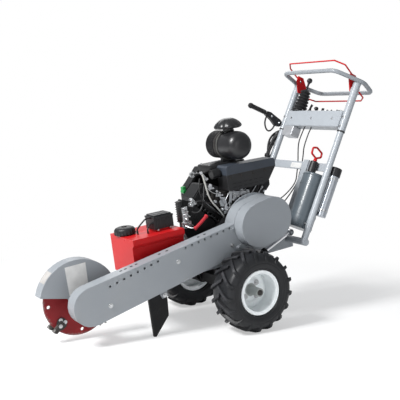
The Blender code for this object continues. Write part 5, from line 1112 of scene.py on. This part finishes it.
class GRINDER_OT_cutter(bpy.types.Operator):
    """Cutter disc with its pockets, tooth holders and carbide tips"""
    bl_idname = "grinder.cutter"
    bl_label = "Cutter"

    def execute(self, context):
        drills = []
        for index in range(4):
            turn = math.radians(188.0 + 90.0 * index)
            spot = CUTTER_AXIS + spoke(0.158, turn)
            drills.append((spot + Vector((0, -0.08, 0)), spot + Vector((0, 0.03, 0)), 0.0095))
        dress("cutter_disc", "disc", 0.0010, drills=drills)
        dress("cutter_spindle", "steel", 0.0008)
        holders = bmesh.new()
        tips = bmesh.new()
        bolts = bmesh.new()
        for index in range(8):
            side = -1 if index % 2 == 0 else 1
            face = CUTTER_MIDDLE + side * DISC_HALF
            angle = 231.0 + 90.0 * (index // 2) - (0.0 if side < 0 else 7.0)
            place = Matrix.Translation(CUTTER_AXIS) @ Matrix.Rotation(-math.radians(angle), 4, "Y")
            holder = bmesh.new()
            slab(holder, [(0.114, -0.004), (0.120, -0.022), (0.138, -0.030), (0.158, -0.024), (0.174, -0.012),
                          (0.196, -0.014), (0.199, 0.006), (0.182, 0.012), (0.166, 0.025), (0.142, 0.030),
                          (0.122, 0.020)], face, face + side * 0.006)
            slab(holder, [(0.132, -0.018), (0.150, -0.020), (0.170, -0.011), (0.197, -0.013), (0.200, 0.004),
                          (0.176, 0.010), (0.158, 0.018), (0.136, 0.016)], face + side * 0.0055, face + side * 0.013)
            holder.transform(place)
            join(holders, holder)
            tip = bmesh.new()
            slab(tip, [(0.184, -0.020), (0.2035, -0.019), (0.2035, -0.010), (0.186, -0.011)], face + side * 0.001,
                 face + side * 0.014)
            tip.transform(place)
            join(tips, tip)
            for reach, sideways in ((0.128, 0.010), (0.134, -0.016), (0.158, 0.0)):
                bolt = bmesh.new()
                hexagon_bolt(bolt, (reach, face + side * (0.006 if reach < 0.14 else 0.013), sideways), side * Y,
                             0.0068, 0.0048)
                bolt.transform(place)
                join(bolts, bolt)
        make("tooth_bolts", bolts, "cutter", "steel", bevel=0.0005)
        make("tooth_holders", holders, "cutter", "forged", bevel=0.0020)
        make("carbide_tips", tips, "cutter", "carbide", bevel=0.0008)
        shape = bmesh.new()
        for index in range(6):
            turn = math.tau * index / 6
            spot = CUTTER_AXIS + spoke(0.034, turn, -0.0440)
            hexagon_bolt(shape, spot, NEAR, 0.0062, 0.006)
        make("disc_bolts", shape, "cutter", "zinc", bevel=0.0004)
        return {"FINISHED"}


# ---------------------------------------------------------------- handle, tank and controls
class GRINDER_OT_handle(bpy.types.Operator):
    """Handle tubes, ring grip, cross plate, grip bails and document tube"""
    bl_idname = "grinder.handle"
    bl_label = "Handle"

    def execute(self, context):
        dress("handle_base", "handle", 0.0012, 40.0)
        dress("handle_ring", "silver", 0.0, 60.0)
        dress("crossbar", "handle", 0.0010)
        for side in ("left", "right"):
            dress(side + "_upper_post", "handle", 0.0008, 40.0)
        for name in ("front", "rear"):
            dress(name + "_bail", "red", 0.0, 60.0)
        self.make_joints()
        self.make_document_tube()
        shape = bmesh.new()
        brick(shape, (0.0092, -0.012, 0.4300), (0.0100, 0.086, 0.4620))
        make("cross_plate_label", shape, "machine", "label", HANDLE, bevel=0.0002)
        return {"FINISHED"}

    def make_joints(self):
        for sign, side in ((-1, "left"), (1, "right")):
            y = sign * POST_SIDE
            shape = bmesh.new()
            lathe(shape, [(0.0195, 0.6610), (0.0228, 0.6610), (0.0232, 0.6630), (0.0232, 0.6680), (0.0222, 0.6690),
                          (0.0195, 0.6690), (0.0195, 0.6610)], (0.0, y, 0.0), Z, 40)
            make(side + "_post_seal", shape, "machine", "plastic", HANDLE)
            shape = bmesh.new()
            for height in (0.690, 0.745):
                hexagon_bolt(shape, (-0.0218, y, height), -X, 0.0052, 0.004)
            for x, z in ((-0.0200, 0.9800), (0.0300, 0.9300)):
                inner = sign * 0.2330
                hexagon_bolt(shape, (x, inner, z), Vector((0, -sign, 0)), 0.0045, 0.004)
            make(side + "_post_bolts", shape, "machine", "zinc", HANDLE, bevel=0.0003)
            shape = bmesh.new()
            near = POST_SIDE - 0.022 - 0.012
            outline = [(-0.0465, 1.0085), (-0.0465, 0.9755), (-0.0103, 0.9115), (0.0503, 0.9115), (0.0565, 0.9485),
                       (-0.0058, 1.0105)]
            slab(shape, outline, sign * (near - 0.0006), sign * (near + 0.0056))
            for x, z in ((-0.034, 0.996), (0.036, 0.934)):
                sleeve(shape, 0.0052, 0.0090, -0.0065, 0.0065, (x, sign * (near + 0.0025), z), Y, 24)
            make(side + "_bail_bracket", shape, "machine", "red", HANDLE, bevel=0.0006)
            shape = bmesh.new()
            ring(shape, (0.0, y, 0.9610), Z, 0.0210, 0.0038, 32, 8)
            make(side + "_ring_weld", shape, "machine", "silver", HANDLE)

    def make_document_tube(self):
        dress("document_tube", "drawn", 0.0008, 40.0)
        box_low, box_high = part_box("document_tube_cap")
        middle = HANDLE.inverted() @ ((box_low + box_high) / 2)
        dress("document_tube_cap", "plastic", 0.0020, 40.0)
        shape = bmesh.new()
        for height in (0.200, 0.390):
            sleeve(shape, 0.0304, 0.0316, height, height + 0.012, (middle.x, middle.y, 0.0), Z, 40)
        make("document_tube_bands", shape, "machine", "zinc", HANDLE)


class GRINDER_OT_hydraulics(bpy.types.Operator):
    """Hydraulic tank, filler, dipstick, valve block, hoses and cables"""
    bl_idname = "grinder.hydraulics"
    bl_label = "Hydraulics"

    def execute(self, context):
        dress("hydraulic_tank", "tank", 0.003, 40.0)
        dress("filler_cap", "plastic", 0.0014, 40.0)
        dress("dipstick", "red", 0.0006, 40.0)
        dress("valve_block", "aluminium", 0.0018)
        dress("throttle_cable", "rubber", 0.0, 60.0)
        dress("clutch_cable", "rubber", 0.0, 60.0)
        axis = Vector((0.0325, -0.149, 0.0))
        shape = bmesh.new()
        for height in (0.0900, 0.3880):
            ring(shape, axis + Z * height, Z, 0.0752, 0.0020, 64, 8)
        make("tank_weld_beads", shape, "machine", "tank", HANDLE)
        shape = bmesh.new()
        for height in (0.150, 0.330):
            sleeve(shape, 0.0753, 0.0766, height, height + 0.016, axis, Z, 64)
        make("tank_straps", shape, "machine", "tank", HANDLE)
        shape = bmesh.new()
        for turn in (130.0, 250.0, 160.0):
            way = Vector((math.cos(math.radians(turn)), math.sin(math.radians(turn)), 0.0))
            seat = axis + way * 0.074 + Z * 0.105
            bar(shape, seat, seat + way * 0.014, 0.0095, 6)
            bar(shape, seat + way * 0.012, seat + way * 0.026, 0.0070, 16)
        make("tank_fittings", shape, "machine", "zinc", HANDLE, bevel=0.0006)
        self.make_hoses()
        return {"FINISHED"}

    def make_hoses(self):
        y = 0.3032
        spine = [(0.000, 0.272, 0.656), (-0.010, y, 0.632), (-0.024, y, 0.560), (-0.030, y - 0.004, 0.480),
                 (-0.040, y - 0.050, 0.400), (-0.110, y - 0.120, 0.310)]
        spine = [HANDLE @ Vector(spot) for spot in spine]
        spine += [CHASSIS @ Vector((x, 0.1303, 0.470)) for x in (0.390, 0.345, 0.301)]
        for strand in range(3):
            route = []
            for index, spot in enumerate(spine):
                ahead = spine[min(index + 1, len(spine) - 1)] - spine[max(index - 1, 0)]
                side = ahead.cross(X).normalized()
                other = ahead.normalized().cross(side)
                turn = math.tau * strand / 3 + 0.8 * index
                route.append(spot + side * 0.0080 * math.cos(turn) + other * 0.0080 * math.sin(turn))
            nodes = ("hose_bundle",) if strand == 0 else ()
            hose(f"hydraulic_hose_{strand + 1}", route, 0.0068, "machine", "rubber", 4, nodes)
        shape = bmesh.new()
        for index in (1, 2, 3, 4):
            spot = spine[index]
            ahead = (spine[index + 1] - spine[index - 1]).normalized()
            sleeve(shape, 0.0140, 0.0162, -0.007, 0.007, spot, ahead, 24)
        make("hose_clips", shape, "machine", "plastic")
        loops = (
            [(0.012, 0.303, 0.664), (-0.016, 0.320, 0.640), (-0.040, 0.324, 0.590), (-0.040, 0.308, 0.530),
             (-0.018, 0.306, 0.480), (-0.030, 0.300, 0.440)],
            [(0.016, 0.303, 0.650), (0.014, 0.308, 0.610), (0.006, 0.310, 0.560), (0.014, 0.310, 0.510),
             (-0.006, 0.306, 0.460), (-0.034, 0.294, 0.430)],
            [(-0.006, 0.303, 0.650), (-0.026, 0.312, 0.600), (-0.014, 0.316, 0.550), (-0.020, 0.314, 0.500),
             (-0.034, 0.304, 0.450), (-0.046, 0.286, 0.420)],
        )
        for index, route in enumerate(loops):
            hose(f"lever_hose_{index + 1}", route, 0.0068, "machine", "rubber", where=HANDLE)


class GRINDER_OT_controls(bpy.types.Operator):
    """Console, joystick with its boot, and the hand controls"""
    bl_idname = "grinder.controls"
    bl_label = "Controls"

    def execute(self, context):
        dress("control_console", "handle", 0.0012)
        for node in ("throttle_lever", "choke_knob", "ignition_key"):
            dress(node, "plastic", 0.0008)
        self.make_joystick()
        self.make_travel_lever()
        shape = bmesh.new()
        for y, radius in ((0.033, 0.0115), (-0.030, 0.0140)):
            lathe(shape, [(radius * 0.55, 0.0), (radius, 0.0), (radius, 0.0022), (radius * 0.75, 0.0034),
                          (radius * 0.55, 0.0034), (radius * 0.55, 0.0)], (0.0125, y, 0.7883), Z, 6 if y > 0 else 32)
        for x in (-0.014, 0.038):
            for y in (-0.225, -0.100, 0.120, 0.236):
                hexagon_bolt(shape, (x, y, 0.7882), Z, 0.0036, 0.003)
        for y in (-0.180, 0.010, 0.200):
            hexagon_bolt(shape, (-0.0202, y, 0.738), -X, 0.0044, 0.004)
        make("console_fittings", shape, "machine", "zinc", HANDLE, bevel=0.0003)
        shape = bmesh.new()
        for y in (-0.075, -0.110, -0.160):
            lathe(shape, [(0.0, -0.001), (0.008, -0.001), (0.0085, 0.004), (0.0050, 0.006), (0.0042, 0.016),
                          (0.0, 0.018)], (0.0125, y, 0.7883), Z, 20)
        brick(shape, (-0.004, -0.205, 0.7870), (0.026, -0.183, 0.7960))
        make("console_switches", shape, "machine", "plastic", HANDLE, bevel=0.0006)
        return {"FINISHED"}

    def make_joystick(self):
        foot = Vector((0.010, 0.186, 0.788))
        shape = bmesh.new()
        lathe(shape, [(0.0, -0.045), (0.006, -0.045), (0.006, 0.185), (0.0075, 0.190), (0.0085, 0.196),
                      (0.0130, 0.199), (0.0162, 0.205), (0.0170, 0.2115), (0.0158, 0.2180), (0.0120, 0.2235),
                      (0.0060, 0.2265), (0.0, 0.2270)], foot, Z, 32)
        piece = make("joystick_handle", shape, "stick", "gloss", HANDLE)
        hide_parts("joystick")
        folds = sizes().boot_folds
        step = 0.138 / folds
        outside = [(0.0435, 0.0004), (0.0440, 0.0040)]
        for fold in range(folds):
            shrink = 0.014 * fold / folds
            start = 0.004 + fold * step
            outside += [(0.0360 - shrink, start + 0.05 * step), (0.0425 - shrink, start + 0.25 * step),
                        (0.0450 - shrink, start + 0.45 * step), (0.0425 - shrink, start + 0.65 * step),
                        (0.0350 - shrink, start + 0.88 * step)]
        outside += [(0.0180, 0.1440), (0.0120, 0.1480), (0.0064, 0.1480), (0.0064, 0.1400), (0.0200, 0.0300),
                    (0.0200, 0.0004), (0.0435, 0.0004)]
        shape = bmesh.new()
        lathe(shape, outside, foot, Z, 40)
        boot = make("joystick_bellows", shape, "machine", "rubber", HANDLE, angle=50.0)
        boot.parent = None
        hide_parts("joystick_boot")
        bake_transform(boot)
        shape = bmesh.new()
        lathe(shape, [(0.0420, 0.0), (0.0480, 0.0), (0.0480, 0.0035), (0.0445, 0.0050), (0.0420, 0.0050),
                      (0.0420, 0.0)], foot, Z, 40)
        make("boot_clamp_ring", shape, "machine", "plastic", HANDLE)

    def make_travel_lever(self):
        y = LEVER_SIDE
        shape = bmesh.new()
        bar(shape, (-0.262, y, 0.716), (-0.150, y, 0.7205), 0.0135, 24)
        lathe(shape, [(0.0, -0.016), (0.012, -0.014), (0.0165, -0.006), (0.0170, 0.004), (0.0140, 0.012),
                      (0.0, 0.014)], (-0.2640, y, 0.7155), X, 24)
        for index in range(9):
            x = -0.246 + index * 0.0105
            lathe(shape, [(0.0, -0.0032), (0.0135, -0.0032), (0.0148, 0.0), (0.0135, 0.0032), (0.0, 0.0032)],
                  (x, y, 0.7163 + index * 0.0004), X, 24)
        make("travel_lever_grip", shape, "travel_lever", "rubber", HANDLE)
        shape = bmesh.new()
        slab(shape, [(-0.150, 0.708), (-0.128, 0.702), (-0.090, 0.690), (-0.052, 0.672), (-0.020, 0.676),
                     (-0.006, 0.690), (-0.008, 0.712), (-0.030, 0.722), (-0.070, 0.728), (-0.112, 0.736),
                     (-0.140, 0.732)], y - 0.0125, y + 0.0125)
        bar(shape, (-0.100, y - 0.0135, 0.714), (-0.100, y + 0.0135, 0.714), 0.0085, 16)
        bar(shape, (-0.034, y - 0.0135, 0.698), (-0.034, y + 0.0135, 0.698), 0.0100, 16)
        piece = make("travel_lever_body", shape, "travel_lever", "plastic", HANDLE, bevel=0.0024)
        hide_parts("drive_lever")
        route = [(-0.128, y, 0.706), (-0.132, y, 0.672), (-0.116, y, 0.640), (-0.088, y, 0.620), (-0.064, y, 0.628),
                 (-0.052, y, 0.655), (-0.048, y, 0.680)]
        hose("travel_trigger", route, 0.0050, "travel_lever", "plastic", where=HANDLE)
        shape = bmesh.new()
        for x, z in ((-0.100, 0.714), (-0.034, 0.698)):
            hexagon_bolt(shape, (x, y - 0.0135, z), NEAR, 0.0048, 0.004)
        make("travel_lever_screws", shape, "travel_lever", "zinc", HANDLE, bevel=0.0003)


# ---------------------------------------------------------------- stage
SKY_STRENGTH = 0.36
MIRRORED_WHITE = 0.10                     # share of the white backdrop that shows in reflections
LIT_SPOT = Vector((0.0, 0.0, 0.6))        # what every lamp points at
LAMPS = (                                 # name, place, watts, side in metres
    ("key", (-4.0, -0.6, 4.2), 410.0, 1.4),
    ("fill", (-0.6, -5.0, 1.4), 24.0, 2.4),
    ("back", (1.5, 4.0, 3.6), 60.0, 3.0),
)
CAMERA_LENS = 70.12                       # millimetres, on a sensor 36 wide
CAMERA_PLACE = (-2.3441, -3.6554, 1.1654)  # from the ground below the axle
CAMERA_DIP = 0.1149
CAMERA_HEADING = 0.5468


class GRINDER_OT_stage(bpy.types.Operator):
    """Pale floor, soft studio light and the camera"""
    bl_idname = "grinder.stage"
    bl_label = "Stage"

    def execute(self, context):
        self.lay_floor()
        self.light()
        self.aim_camera()
        context.scene.view_settings.view_transform = "Standard"
        return {"FINISHED"}

    def lay_floor(self):
        shape = bmesh.new()
        bmesh.ops.create_grid(shape, x_segments=1, y_segments=1, size=sizes().floor_reach)
        mesh = bpy.data.meshes.new("floor")
        shape.to_mesh(mesh)
        shape.free()
        floor = bpy.data.objects.new("floor", mesh)
        floor.location.z = -0.0005
        bpy.context.scene.collection.objects.link(floor)
        material = bpy.data.materials.new("pale_floor")
        nodes = Nodes(material)
        nodes.tree.nodes.clear()
        place = nodes.node("ShaderNodeTexCoord", {}, {}, "Object")
        away = nodes.node("ShaderNodeVectorMath", {"operation": "LENGTH"}, {0: place}, "Value")
        seen = nodes.node("ShaderNodeLightPath", {}, {}, "Is Camera Ray")
        matt = nodes.node("ShaderNodeBsdfDiffuse", {}, {"Color": (0.93, 0.93, 0.93, 1.0)})
        glow = nodes.node("ShaderNodeEmission", {}, {"Color": (1.0, 1.0, 1.0, 1.0)})
        share = seen * nodes.rise(away, 1.1, 2.3, 0.45, 1.0)
        both = nodes.node("ShaderNodeMixShader", {}, {0: share, 1: matt, 2: glow})
        nodes.node("ShaderNodeOutputMaterial", {}, {"Surface": both})
        mesh.materials.append(material)

    def light(self):
        world = bpy.data.worlds.new("studio")
        bpy.context.scene.world = world
        nodes = Nodes(world)
        nodes.tree.nodes.clear()
        straight, through, mirrored = (nodes.node("ShaderNodeLightPath", {}, {}, kind)
                                       for kind in ("Is Camera Ray", "Is Transmission Ray", "Is Glossy Ray"))
        seen = straight.maths("MAXIMUM", straight, through)
        share = seen.maths("MAXIMUM", seen, mirrored * MIRRORED_WHITE)
        soft = nodes.node("ShaderNodeBackground", {}, {"Color": (0.93, 0.96, 1.0, 1.0), "Strength": SKY_STRENGTH})
        white = nodes.node("ShaderNodeBackground", {}, {"Color": (1.0, 1.0, 1.0, 1.0)})
        both = nodes.node("ShaderNodeMixShader", {}, {0: share, 1: soft, 2: white})
        nodes.node("ShaderNodeOutputWorld", {}, {"Surface": both})
        for name, spot, power, size in LAMPS:
            lamp = bpy.data.lights.new(name, "AREA")
            lamp.energy = power
            lamp.size = size
            holder = bpy.data.objects.new(name, lamp)
            holder.location = spot
            holder.rotation_euler = (LIT_SPOT - Vector(spot)).to_track_quat("-Z", "Y").to_euler()
            bpy.context.scene.collection.objects.link(holder)

    def aim_camera(self):
        lens = bpy.data.cameras.new("camera")
        lens.lens = CAMERA_LENS
        lens.sensor_width = 36.0
        camera = bpy.data.objects.new("camera", lens)
        x, y, z = CAMERA_PLACE
        camera.location = (AXLE.x + x, y, z)
        camera.rotation_euler = (math.pi / 2 - CAMERA_DIP, 0.0, -CAMERA_HEADING)
        bpy.context.scene.collection.objects.link(camera)
        bpy.context.scene.camera = camera


OPERATORS = (GRINDER_OT_wheels, GRINDER_OT_chassis, GRINDER_OT_fuel, GRINDER_OT_engine, GRINDER_OT_boom,
             GRINDER_OT_cutter, GRINDER_OT_handle, GRINDER_OT_hydraulics, GRINDER_OT_controls, GRINDER_OT_stage)


class GRINDER_PT_panel(bpy.types.Panel):
    """Lists the groups of parts and what can be changed on them"""
    bl_idname = "GRINDER_PT_panel"
    bl_label = "Stump grinder"
    bl_space_type = "VIEW_3D"
    bl_region_type = "UI"
    bl_category = "Grinder"

    def draw(self, context):
        for group in (context.scene.grinder_sizes, context.scene.grinder_colours):
            for name in group.__annotations__:
                self.layout.prop(group, name)
        for operator in OPERATORS:
            self.layout.operator(operator.bl_idname)


CLASSES = (GrinderSizes, GrinderColours, *OPERATORS, GRINDER_PT_panel)


def register():
    for item in CLASSES:
        bpy.utils.register_class(item)
    bpy.types.Scene.grinder_sizes = PointerProperty(type=GrinderSizes)
    bpy.types.Scene.grinder_colours = PointerProperty(type=GrinderColours)


def unregister():
    del bpy.types.Scene.grinder_colours
    del bpy.types.Scene.grinder_sizes
    for item in reversed(CLASSES):
        bpy.utils.unregister_class(item)


def main():
    register()
    prepare_finishes(bpy.context.scene.grinder_colours)
    for operator in OPERATORS:
        group, name = operator.bl_idname.split(".")
        getattr(getattr(bpy.ops, group), name)()


if __name__ == "__main__":
    main()
